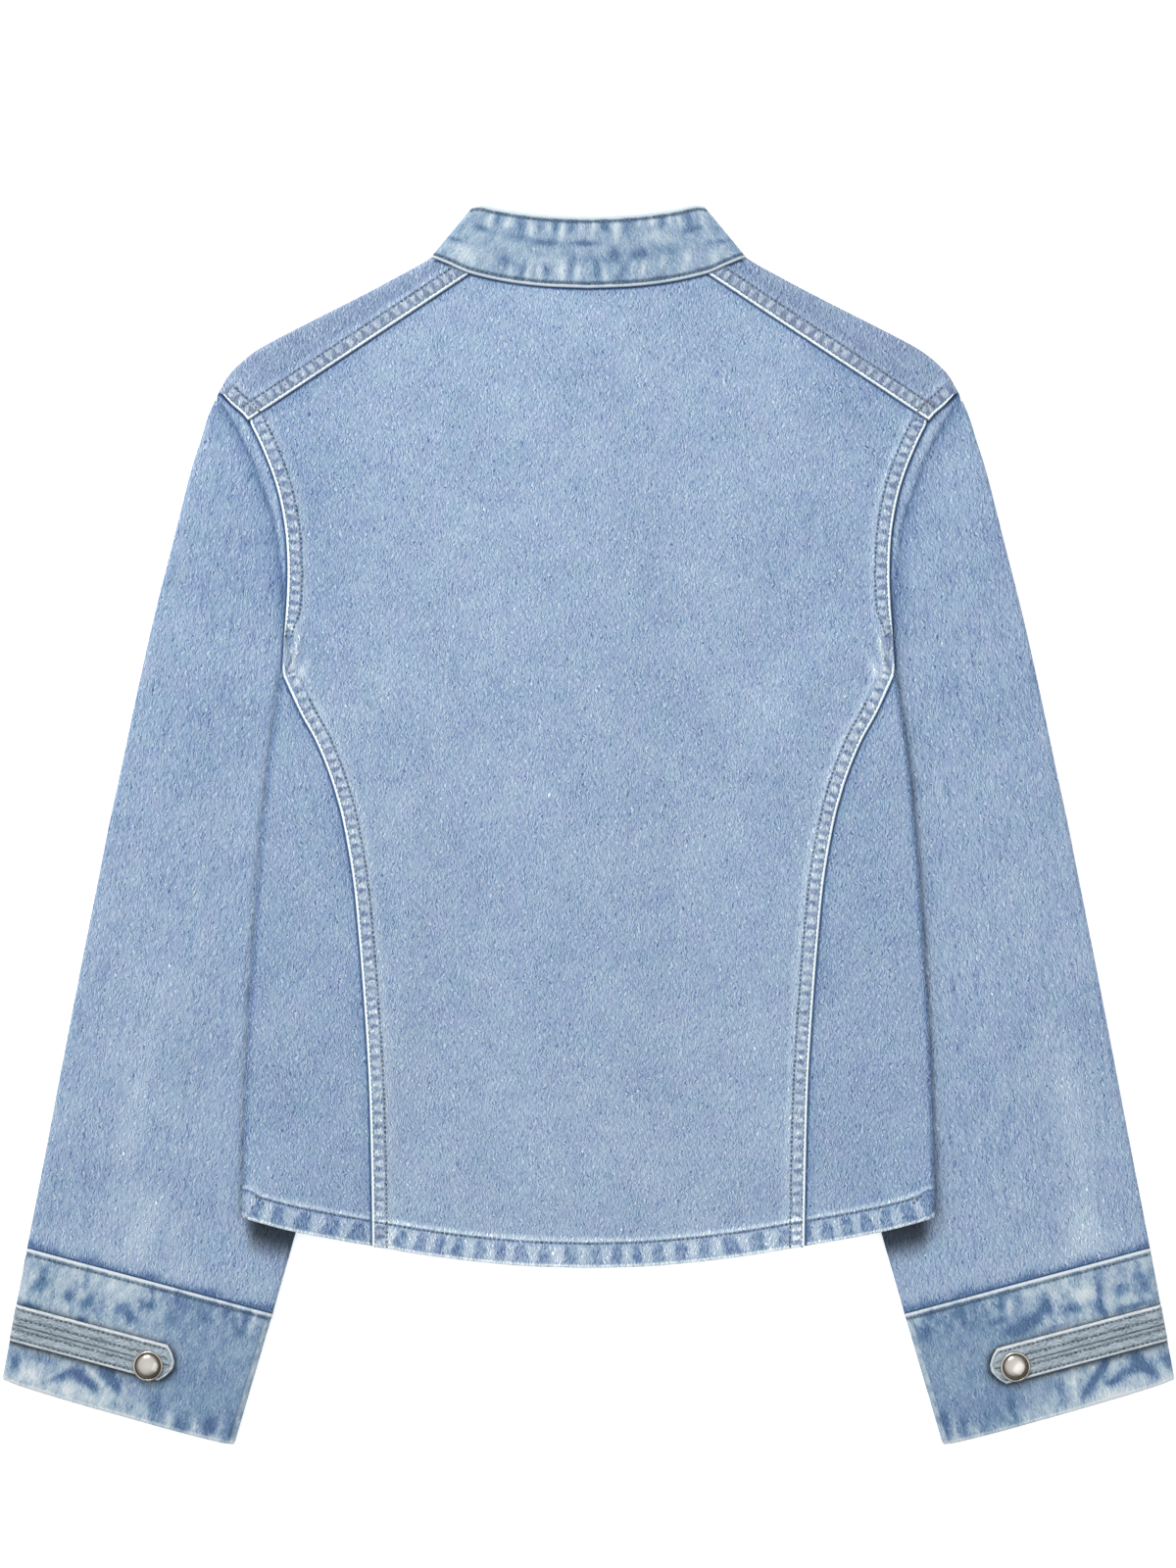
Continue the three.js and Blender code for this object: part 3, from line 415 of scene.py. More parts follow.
def back_centre():
    """The back, from the hem to under the collar."""
    right = np.vstack([back_seam[::-1], armhole[armhole[:, 1] <= ARMHOLE[2][1] + 0.01][::-1][1:]])
    left = right * [-1, 1]
    neck_half = np.vstack([back_neck, ARMHOLE[2:3]])
    seam_line = np.vstack([neck_half[::-1] * [-1, 1], neck_half[1:]])
    top = seam_line + [0, TUCK + 0.4]
    hem_half = hem[hem[:, 0] <= BACK_SEAM[-1][0] + 0.01]
    bottom = np.vstack([hem_half[::-1] * [-1, 1], hem_half[1:]])
    right[-1], left[-1] = top[-1], top[0]
    bottom[-1], bottom[0] = right[0], left[0]
    vs = shares(run_of(right)[-1], 290, ACROSS_HEM, ACROSS_TUCK)
    widths = 2 * at(right, vs)[:, 0]
    us = np.array([shares(width, 80, ACROSS_SEAM, ACROSS_SEAM) for width in widths])
    plan = patch(bottom, top, left, right, us, vs)
    x, y = plan[..., 0], plan[..., 1]
    edge, run = nearest(right, np.abs(x), y)
    low, low_run = nearest(hem_half, np.abs(x), y)
    above = y > np.interp(x, seam_line[:, 0], seam_line[:, 1])
    tuck = nearest(neck_half, np.abs(x), y)[0] * np.where(above, -1, 1)
    base = body_top(x, y) + ripple(x, y, 0.3) + tucked(tuck)
    # At the underarm the two seams meet: the felled edge narrows, twists and pinches into one ridge
    side = np.abs(x)
    pinch = hump(y, 99, 10) * (edge < 25)
    ridge = strokes(side, y, UNDERARM_RIDGE)
    run = run + np.where(x < 0, 700, 0)
    rise = felled(edge, run) * ease(tuck, -1, 1.5) * (1 - 0.35 * pinch)
    outer = pair(x, y, base + rise + hemmed(low, low_run) + ridge * ease(edge, 0.2, 1.5))
    inner = pair(x, y, base - WALL)
    edge = edge * (1 + 0.8 * hump(y, 108, 8) * (edge < 25))
    wear_and_shade = strokes(side, y, UNDERARM_PALE) + 0.15 * pinch * (edge < 9)
    wear_and_shade = wear_and_shade - 0.07 * ease(side, 110, 165) * ease(y, 50, 140) + 0.03 * (1 - ease(y, -190, -60))
    looks = {"cloth": pair(x, y), "seam": pair(edge, run),
             "hem": pair(low, low_run + np.where(x < 0, 500, 0)), "tuck": tuck, "wear_and_shade": wear_and_shade,
             "painted_shade": strokes(side, y, UNDERARM_SHADE), "calm": ease(pinch, 0.25, 0.75)}
    return shell("back", outer, inner, looks)


back = back_centre()
print("back:", len(back.data.polygons), "faces")

# %% [markdown]
# ## Side panels
# Each back side panel starts under the back's folded edge and rounds over the side fold, where the side seam
# joins it to the front. A quarter of a rounded section closes the fold.

# %% Back side panels
SIDE_RADIUS = 2.3


def outward_of(line, inside):
    """Unit directions out of a line, away from points inside."""
    way = np.gradient(line, axis=0)
    normal = np.stack([-way[:, 1], way[:, 0]], -1)
    normal /= np.linalg.norm(normal, axis=1, keepdims=True)
    return normal * np.sign((normal * (line - inside)).sum(1, keepdims=True))


def fold(edge, outward, radius, low, high, degrees, inset):
    """Columns of a rounded fold: 90 is its top, 0 its edge and -90 its underside."""
    angle = np.radians(np.asarray(degrees, float))[None]
    radius, low, high = (np.asarray(value, float).reshape(-1, 1) for value in (radius, low, high))
    reach = np.cos(angle) * np.maximum(radius - inset, 0.15 * radius) - radius
    z = (high + low) / 2 + np.sin(angle) * np.maximum((high - low) / 2 - inset, 0.2)
    return pair(edge[:, :1] + outward[:, :1] * reach, edge[:, 1:2] + outward[:, 1:2] * reach, z)


def back_side(name, side):
    """A side panel; side is -1 for the left one."""
    vs = shares(run_of(side_fold)[-1], 100, ACROSS_HEM, (0,))
    seam, edge = at(back_seam[::-1], vs), at(side_fold[::-1], vs)
    outward = outward_of(edge, seam)
    width = np.linalg.norm(edge - seam, axis=1)
    radius = np.minimum(SIDE_RADIUS, 0.45 * width)
    start = edge - outward * radius[:, None]
    bottom = hem[(hem[:, 0] >= BACK_SEAM[-1][0]) & (hem[:, 0] < start[0, 0] - 1)]
    bottom = np.vstack([seam[:1], bottom[1:], start[:1]])
    us = np.array([shares(max(w, 1), 22, ACROSS_TUCK[4:] - TUCK, (0,)) for w in width])
    plan = patch(bottom, np.array([seam[-1], start[-1]]), seam, start, us, vs)
    way = (plan[:, 1] - plan[:, 0]) / np.linalg.norm(plan[:, 1] - plan[:, 0], axis=1, keepdims=True)
    under = [plan[:, 0] - way * reach for reach in (TUCK, 2.4, 1.2, 0.4)]
    plan = np.concatenate([np.stack(under, 1), plan], 1)
    x, y = plan[..., 0], plan[..., 1]
    low, low_run = nearest(hem, x, y)
    signs = np.where(np.arange(plan.shape[1]) < len(under), -1, 1)
    tuck = nearest(back_seam, x, y)[0] * signs
    base = body_top(x, y) + ripple(side * x, y, 0.3) + tucked(tuck)
    rise = hemmed(low, low_run)
    degrees = (80, 65, 50, 35, 20, 8, -2)
    high = base[:, -1] + rise[:, -1]
    low_side = body_under(edge[:, 0], edge[:, 1], 0)
    turned = fold(edge, outward, radius, low_side, high, degrees, 0)
    inner_turned = fold(edge, outward, radius, low_side, base[:, -1], degrees, WALL)
    turned[0, :, 1] = inner_turned[0, :, 1] = np.interp(turned[0, :, 0], hem[:, 0], hem[:, 1])
    outer = np.concatenate([pair(x, y, base + rise), turned], 1)
    inner = np.concatenate([pair(x, y, base - WALL), inner_turned], 1)
    px, py = outer[..., 0], outer[..., 1]
    low, low_run = nearest(hem, px, py)
    tuck = np.hstack([tuck, nearest(back_seam, turned[..., 0], turned[..., 1])[0]])
    # Painted shade along the side fold
    fold_shade = hump(nearest(side_fold, px, py)[0], 1.2, 1.4)
    looks = {"cloth": pair(side * px + 900, py), "seam": pair(np.full_like(px, 60), py),
             "hem": pair(low, low_run + 250 * side), "tuck": tuck,
             "wear_and_shade": -0.04 - 0.24 * fold_shade}
    return shell(name, flip(outer, side), flip(inner, side), looks)


sides = [back_side("side_panel_" + word, side) for word, side in (("left", -1), ("right", 1))]
print("side panels:", [len(panel.data.polygons) for panel in sides])

# %% [markdown]
# ## Fronts
# The fronts face the table. Each comes over the shoulder fold and ends on the back in the shoulder seam, so
# the same grid runs up the underside, round the fold and down the strip that shows.

# %% Hidden half of a front
LAP_HALF = 15.0
LAP_LIFT = {-1: 4.8, 1: 3.0}
SHOULDER_RADIUS = FLAT_TOP / 2
fold_start = shoulder_fold - outward_of(shoulder_fold, np.array([100, 200])) * SHOULDER_RADIUS


def front_under(side):
    """Outer and inner grid of the half that faces the table, with its distance from the hem."""
    armhole_up = armhole[::-1]
    arm_part = armhole_up[armhole_up[:, 1] < 243]
    right = np.vstack([side_fold[::-1], arm_part[1:], fold_start[-1:]])
    neck = np.vstack([smooth(FRONT_NECK)[2:], fold_start[:1]])
    left = np.vstack([[(-LAP_HALF, -253.2), (-LAP_HALF, 0), (-LAP_HALF, 246)], neck])
    bottom = np.vstack([left[:1], hem])
    vs = shares(560, 84, (0, 1, 3, 8, 13, 15, 18), (0, 2, 5))
    chord = np.linalg.norm(at(right, vs) - at(left, vs), axis=1)
    us = np.array([shares(w, 42, ACROSS_HEM[:4], ACROSS_SEAM) for w in chord])
    plan = patch(bottom, fold_start, left, right, us, vs)
    x, y = plan[..., 0], plan[..., 1]
    under = body_under(x, y, LAP_LIFT[side])
    # Side fold: the lower quarter, up to the side seam
    side_rows = y[:, -1] < underarm[1] - 2
    edge = np.stack([x[:, -1], y[:, -1]], 1)
    outward = outward_of(edge, np.stack([x[:, 0], y[:, -1]], 1))
    from_edge = np.linalg.norm(plan - edge[:, None], axis=-1)
    turn = np.clip(1 - from_edge / SIDE_RADIUS, 0, 1)
    climb = (body_top(edge[:, 0], edge[:, 1]) - body_under(edge[:, 0], edge[:, 1], 0))[:, None] / 2
    rise = climb * (1 - np.sqrt(np.clip(1 - turn**2, 0, 1))) * side_rows[:, None]
    turn = turn * side_rows[:, None]
    outer = pair(x, y, under + rise)
    inner = pair(x - WALL * outward[:, :1] * turn, y, under + rise + WALL * (1 - 0.8 * turn))
    return outer, inner, us[-1], nearest(hem, x, y)[0]


print("the fronts lap by", 2 * LAP_HALF, "mm")

# %% Shoulder fold and strip of a front
def shoulder_turn(along):
    """Outer and inner grid of the turn over the shoulder."""
    folded, inside = at(shoulder_fold, along), at(fold_start, along)
    out = (folded - inside) / np.linalg.norm(folded - inside, axis=1, keepdims=True)
    top_there = body_top(inside[:, 0], inside[:, 1])
    angles = (-65, -40, -15, 10, 35, 60)
    return [fold(folded, out, SHOULDER_RADIUS, 0, top_there, angles, inset).transpose(1, 0, 2)
            for inset in (0, WALL)]


def shoulder_strip(side, along):
    """Outer and inner grid of the strip on the back, down to the shoulder seam, and where its seams lie."""
    collar_side = np.array([-2.2, 1.4])
    neck_edge = np.array([BACK_NECK[-1], (80, 319.9), fold_start[0]]) + [collar_side, collar_side, (0, 0)]
    on_arm = (armhole[:, 1] >= ARMHOLE[2][1]) & (armhole[:, 1] < 243)
    arm_edge = np.vstack([armhole[on_arm][::-1], fold_start[-1:]])
    across = shares(30, 7, ACROSS_SEAM, (0,))[::-1]
    start, end = at(neck_edge, across)[:, None], at(arm_edge, across)[:, None]
    bow = at(fold_start, along) - (fold_start[0] + along[:, None] * (fold_start[-1] - fold_start[0]))
    strip = start + along[None, :, None] * (end - start) + across[:, None, None] * bow
    sx, sy = strip[..., 0], strip[..., 1]
    seam_away, seam_run = nearest(shoulder_seam, sx, sy)
    arm_away, arm_run = nearest(armhole, sx, sy)
    away = np.minimum(seam_away, arm_away)
    run = np.where(seam_away < arm_away, seam_run, arm_run + 300) + np.where(side < 0, 700, 0)
    collar_line = np.array([(40, 308.6), BACK_NECK[-1], (80, 319.9), (90.3, 324.2)])
    tuck = nearest(collar_line, sx, sy)[0] * np.where(along[None] * 150 < 1.5, -1, 1)
    base = body_top(sx, sy) + ripple(side * sx, sy, 0.3) * (1 - across[:, None]) + tucked(tuck) * 0.7
    outer = pair(sx, sy, base + felled(away, run) + 0.35 * (1 - ease(seam_away, 8, 14)))
    return outer, pair(sx, sy, base - WALL), away, run, tuck, seam_away


print("shoulder seam", round(run_of(shoulder_seam)[-1]), "mm")

# %% Fronts
def front(name, side):
    """A front with its shoulder strip; the left one lies lower at the lap."""
    under_outer, under_inner, along, hem_away = front_under(side)
    turn_outer, turn_inner = shoulder_turn(along)
    strip_outer, strip_inner, away, run, tuck, seam_away = shoulder_strip(side, along)
    outer = np.concatenate([under_outer, turn_outer, strip_outer])
    inner = np.concatenate([under_inner, turn_inner, strip_inner])
    x, y = under_outer[..., 0], under_outer[..., 1]
    turn_blank = np.full(turn_outer.shape[:2], 60.0)
    placket = np.where(y < 243, np.abs(x + LAP_HALF), 60)
    strip_fade = -0.18 - 0.1 * hump(seam_away, 11.5, 3.0)
    # On the turn over the shoulder fold the cloth is painted darker, as painted shade of the fold, and greyer
    looks = {"cloth": pair(outer[..., 0] * side + 1800, outer[..., 1]),
             "seam": pair(np.vstack([placket, turn_blank, away]), np.vstack([y, turn_blank, run])),
             "hem": pair(np.vstack([hem_away, turn_blank, 0 * away + 60]), outer[..., 0]),
             "tuck": np.vstack([0 * x + 60, turn_blank, tuck]),
             "wear_and_shade": np.vstack([0 * x, 0 * turn_blank - 0.22, strip_fade]),
             "dull": np.vstack([0 * x, 0 * turn_blank + 0.25, 0 * away + 0.14])}
    return shell(name, flip(outer, side), flip(inner, side), looks)


fronts = [front("front_cloth_" + word, side) for word, side in (("left", -1), ("right", 1))]
print("fronts:", [len(panel.data.polygons) for panel in fronts])

# %% [markdown]
# ## Collar
# A stand collar is a band of two layers. Laid flat, its back half shows and its front half lies beneath,
# joined by a fold at each side. Its lower edge lies on the back.

# %% Sizes of the collar
COLLAR_RISE = 1.7
COLLAR_TALL = 41.0
COLLAR_ROWS = (2.5, COLLAR_TALL - 3.2)
NECK_FOLD = np.array([90.3, 324.2, 66.2, 353.4])
COLLAR_BACK = [(80.0, 319.9, 58.5, 353.7), (68.0, 314.7, 49.0, 351.7), (47.5, 310.0, 33.5, 349.3),
               (25.0, 307.1, 17.5, 347.8), (0.0, 306.0, 0.0, 347.2)]
COLLAR_FRONT = [(0.6, 246.6, 0.6, 286.0), (18.0, 247.0, 14.0, 287.5), (50.0, 256.0, 33.0, 296.0),
                (70.0, 273.0, 46.0, 311.0), (83.0, 296.0, 56.0, 331.0)]
COLLAR_RADIUS = 3.4
print("collar rows of stitches at", COLLAR_ROWS, "mm of", COLLAR_TALL)

# %% Marks on the collar
# Streaks and rubbed places of the collar, in millimetres of the jacket
COLLAR_MARKS = [(-56, 346, 5, 1.6, 75, 0.3), (-46, 344, 4.5, 1.6, 75, 0.3), (-33, 341, 5, 1.9, 85, 0.34),
                (-23, 341, 4, 1.3, 85, 0.25), (-15, 339, 6, 1.6, 80, 0.34), (-5, 339, 5, 1.3, 85, 0.2),
                (3, 341, 5, 1.5, 88, 0.28), (16, 339, 6, 2.2, 92, 0.34), (29, 344, 4, 1.3, 95, 0.25),
                (36, 345, 3, 1.6, 95, 0.4), (46, 346, 4, 1.4, 100, 0.3), (52, 344, 4, 1.0, 100, 0.3),
                (65, 345, 5, 1.4, 105, 0.3), (-45, 314, 6, 1.8, 80, 0.28), (-35, 313, 6, 1.6, 75, 0.25),
                (-28, 315, 6, 1.7, 95, 0.25), (-15, 315, 7, 2.2, 90, 0.3), (-6, 315, 6, 1.8, 85, 0.28),
                (9, 315, 6, 2.0, 95, 0.26), (25, 316, 6, 1.6, 80, 0.22), (31, 317, 6, 1.6, 80, 0.25),
                (42, 321, 6, 1.6, 75, 0.22), (56, 322, 6, 2.0, 75, 0.25), (-70, 326, 7, 5, 160, 0.3),
                (40, 336, 9, 4, 10, 0.14), (70, 324, 6, 4, 30, 0.16), (-25, 322, 9, 2.5, 0, 0.08),
                (-52, 346, 4, 1.8, 75, -0.3), (-39, 342, 4, 2.4, 85, -0.32), (-28, 341, 4, 1.6, 85, -0.22),
                (-19, 341, 4, 1.6, 85, -0.3), (-10, 341, 4, 1.8, 85, -0.22), (9, 342, 4, 2.2, 90, -0.4),
                (23, 341, 5, 2.6, 90, -0.28), (42, 345, 4, 1.6, 95, -0.28), (57, 345, 5, 1.8, 100, -0.28),
                (-38, 316, 5, 2.0, 80, -0.22), (-24, 315, 6, 1.8, 85, -0.28), (-10, 316, 6, 2.0, 90, -0.25),
                (5, 315, 6, 2.0, 90, -0.28), (19, 315, 6, 2.2, 95, -0.2), (-24, 332, 8, 2.0, 172, -0.4),
                (-2, 331.5, 7, 1.6, 178, -0.45), (14, 325, 3.5, 4, 0, -0.35), (28, 325, 5, 4, 10, -0.35),
                (-47, 322, 6, 4, 160, -0.25), (-76, 334, 6, 1.2, 160, -0.3), (-60, 340, 6, 1.6, 165, -0.3),
                (60, 340, 6, 1.4, 15, -0.3), (75, 333, 7, 1.2, 10, -0.25), (-40, 335, 8, 2.2, 165, -0.2),
                (45, 328, 9, 4, 10, -0.16), (0, 322, 14, 3, 0, -0.12), (80, 342, 5, 1.4, 120, -0.25)]
print("marks placed by hand:", len(COLLAR_MARKS))

# %% Collar
def collar():
    """The collar, from its lap in front round both folds."""
    tall = COLLAR_TALL
    heights = shares(tall, 26, BAND_EDGE, (0, 0.3, 0.8, 1.5, 2.3, 3.0, 3.8, 5))
    lower = smooth(COLLAR_FRONT, 3.0)
    fold_way = NECK_FOLD[2:] - NECK_FOLD[:2]
    outward = np.array([fold_way[1], -fold_way[0]]) / np.linalg.norm(fold_way)
    along_fold = fold_way / np.linalg.norm(fold_way)
    slant = np.array([0.3, 1.04]) * COLLAR_RADIUS
    top_of_fold = np.concatenate([NECK_FOLD[:2] - outward * COLLAR_RADIUS + along_fold * slant[0],
                                  NECK_FOLD[2:] - outward * COLLAR_RADIUS + along_fold * slant[1]])
    upper = smooth(np.vstack([top_of_fold, COLLAR_BACK]), 1.3)[1:]
    degrees = np.array([-90, -60, -30, 0, 25, 50, 72, 90.0])
    grids = []
    for inset in (0, COLLAR_WALL):
        rows = []
        for share in heights:
            down = lower[:, :2] + share * (lower[:, 2:] - lower[:, :2])
            up = upper[:, :2] + share * (upper[:, 2:] - upper[:, :2])
            edge = NECK_FOLD[:2] + share * fold_way
            from_bottom, from_top = share * tall, (1 - share) * tall
            edges = min(rounded(from_bottom, 1.0), rounded(from_top, 1.3))
            puff = 0.3 * np.sin(up[:, 0] / 1.9) * hump(min(from_bottom, from_top), 7.0, 3.5)
            groove = 0.5 * hump(from_bottom, 2.5, 0.55) + 0.45 * hump(from_top, 3.2, 0.6)
            relief = 0 if inset else 1.1 * edges - 1.1 + puff - groove
            level = body_top(up[:, 0], up[:, 1]) + COLLAR_RISE + ripple(up[:, 0], up[:, 1], 0.35)
            lift = 3.0 * (1 - ease(np.abs(down[:, 0]), 14, 46)) * (1 - share)
            high = level[0] + np.mean(relief)
            turned = fold(edge[None], outward[None], COLLAR_RADIUS, 0, high, degrees, inset)[0]
            slide = (slant[0] + share * (slant[1] - slant[0])) * (1 - np.cos(np.radians(degrees.clip(0, 90))))
            turned[:, :2] += along_fold * slide[:, None]
            half = np.vstack([pair(down[:, 0], down[:, 1], lift + inset), turned,
                              pair(up[:, 0], up[:, 1], level + relief - inset)])
            rows.append(np.vstack([half, (half * [-1, 1, 1])[:-1][::-1]]))
        grids.append(np.array(rows))
    outer, inner = grids
    run = np.concatenate([[0], np.cumsum(np.linalg.norm(np.diff(outer[len(heights) // 2], axis=0), axis=1))])
    run = np.broadcast_to(run, outer.shape[:2])
    from_bottom = np.broadcast_to(heights[:, None] * tall, outer.shape[:2])
    marked = strokes(outer[..., 0], outer[..., 1], COLLAR_MARKS) * (outer[..., 2] > 4)
    # Along both rows of stitches the cloth is darker, and painted shade lies in their grooves; a pale band
    # runs along the top fold
    rows_dark = -0.4 * hump(from_bottom, 2.6, 1.0) - 0.45 * hump(from_bottom, tall - 3.3, 1.1)
    band = 0.6 * ease(from_bottom, tall - 2.7, tall - 1.9)
    row_groove_shade = 0.42 * hump(from_bottom, 2.6, 0.75) + 0.4 * hump(from_bottom, tall - 3.3, 0.75)
    looks = {"cloth": pair(run + 300, from_bottom), "seam": pair(from_bottom, run), "painted_shade": row_groove_shade,
             "hem": pair(tall - from_bottom, run + 90), "wear_and_shade": 1.3 * marked + rows_dark + band, "wear": 1.0}
    return shell("stand_collar", outer, inner, looks)


stand_collar = collar()
print("collar:", len(stand_collar.data.polygons), "faces")

# %% [markdown]
# ## Sleeves
# A sleeve laid flat is a tube pressed to two layers with a rounded fold at each side. Its top is tucked under
# the armhole edge. Beside the armhole the extra cloth of the sleeve head makes a soft step.

# %% Lines of the sleeve
STEP_LINE = smooth([(208.5, 238.0), (200.0, 223.0), (192.0, 207.0), (187.0, 193.0), (182.0, 180.0),
                    (179.0, 168.0), (176.8, 155.0), (175.2, 140.0), (174.4, 125.0), (174.6, 110.0)])
FADED = {-1: [(-262, -176, 52, 7, 79, 0.16), (-255, -228, 24, 9, 79, 0.18), (-268, -120, 40, 10, 79, 0.06),
              (-235, -235, 22, 6, 100, 0.12)],
         1: [(281, -190, 50, 9, 101, 0.13), (280, -233, 16, 10, 101, 0.19), (268, -130, 40, 10, 101, 0.06)]}


def sleeve_lines():
    """Inner and outer line of a sleeve, row by row from the shoulder to a little way under the cuff."""
    dense = smooth(sleeve_rows, 1.0)
    middle = (dense[:, :2] + dense[:, 2:]) / 2
    length = run_of(middle)[-1]
    last = (0, 1.2, 2.4, 3.6, 5, 7, 10)
    rows = at(np.hstack([middle, dense]), shares(length + TUCK, 178, (0,), last))[:, 2:]
    down = (rows[-1] - rows[-12]) / np.linalg.norm((rows[-1] - rows[-12])[2:])
    rows = np.vstack([rows, rows[-1] + down * 1.6, rows[-1] + down * 3.4])
    return rows[:, :2], rows[:, 2:]


inner_line, outer_line = sleeve_lines()
print("sleeve:", len(inner_line), "rows")

# %% Layers of a sleeve
OUTER_TURN = (75, 60, 45, 30, 15, 0, -15, -30, -45, -60, -75, -90)
INNER_TURN = (2, 20, 38, 56, 74)
SLEEVE_COLUMNS = 44


def sleeve_layers(side):
    """Outer and inner grid of a sleeve: upper layer, outer fold, lower layer and inner fold."""
    on_armhole = inner_line[:, 1] > underarm[1] - 0.5
    outward_in = outward_of(inner_line, outer_line)
    outward_out = outward_of(outer_line, inner_line)
    width = np.linalg.norm(outer_line - inner_line, axis=1)
    across_way = (outer_line - inner_line) / width[:, None]
    outer_high = sleeve_top(outer_line[:, 0] - 6, outer_line[:, 1])
    outer_radius = np.minimum(outer_high / 2, 0.3 * width)
    inner_high = sleeve_top(inner_line[:, 0] + 4, inner_line[:, 1])
    folded = inner_line - outward_in * inner_high[:, None] / 2
    start = np.where(on_armhole[:, None], inner_line + across_way * 0.8, folded)
    end = outer_line - outward_out * outer_radius[:, None]
    us = np.linspace(0, 1, SLEEVE_COLUMNS)
    coarse = np.linspace(0, 1, 16)
    reach = np.array([-TUCK, -2.6, -1.6, -0.8, 0.0])
    grids = []
    for inset in (0, WALL):
        top = start[:, None] + us[None, :, None] * (end - start)[:, None]
        x, y = top[..., 0], top[..., 1]
        step_away = nearest(STEP_LINE, x, y)[0]
        beyond = x > np.interp(-y, -STEP_LINE[:, 1], STEP_LINE[:, 0])
        dip = np.where(beyond, np.exp(-step_away / 9), np.exp(-((step_away / 1.6) ** 2)))
        dip = dip * ease(y, 128, 165) * ease(-y, -246, -228)
        swell = ripple(side * x * 1.3, y * 0.8 + 400, 0.35)
        swell = swell * ease(x - start[:, None, 0], 2, 20) * ease(end[:, None, 0] - x, 0, 12)
        z = sleeve_top(x, y) + swell - 0.7 * dip - inset
        near_top = fold(inner_line, outward_in, inner_high / 2, 0, inner_high, INNER_TURN, inset)
        tucked_top = inner_line[:, None] + reach[None, :, None] * across_way[:, None]
        level = sleeve_top(inner_line[:, 0] + 2, inner_line[:, 1])[:, None] - 0.9 * ease(-reach, -0.4, 1.2)
        tucked_top = pair(tucked_top[..., 0], tucked_top[..., 1], level - inset)
        near_top = np.where(on_armhole[:, None, None], tucked_top, near_top)
        turned = fold(outer_line, outward_out, outer_radius, 0, outer_high, OUTER_TURN, inset)
        low = end[:, None] + coarse[None, 1:, None] * (start - end)[:, None]
        low = pair(low[..., 0], low[..., 1], float(inset))
        low_turn = [-angle for angle in INNER_TURN[::-1]]
        near_low = fold(inner_line, outward_in, inner_high / 2, 0, inner_high, low_turn, inset)
        flat_low = start[:, None] + np.linspace(0.1, 1, 5)[None, :, None] * (inner_line - start)[:, None]
        flat_low = pair(flat_low[..., 0], flat_low[..., 1], float(inset))
        near_low = np.where(on_armhole[:, None, None], flat_low, near_low)
        grids.append(np.concatenate([near_top, pair(x, y, z), turned, low, near_low], 1))
    outer, inner = grids
    # Drop the end that runs under the cuff
    end_drop = np.array([0.3, 0.5, 0.9, 1.3, 1.5])[:, None]
    outer[-5:, :, 2] = np.clip(outer[-5:, :, 2] - end_drop * (outer[-5:, :, 2] > 3), 0.2, None)
    inner[-5:, :, 2] = np.clip(inner[-5:, :, 2] - end_drop * (inner[-5:, :, 2] > 3), 0.4, None)
    return outer, inner


print("sleeve:", SLEEVE_COLUMNS + len(OUTER_TURN) + len(INNER_TURN), "columns in its upper half")

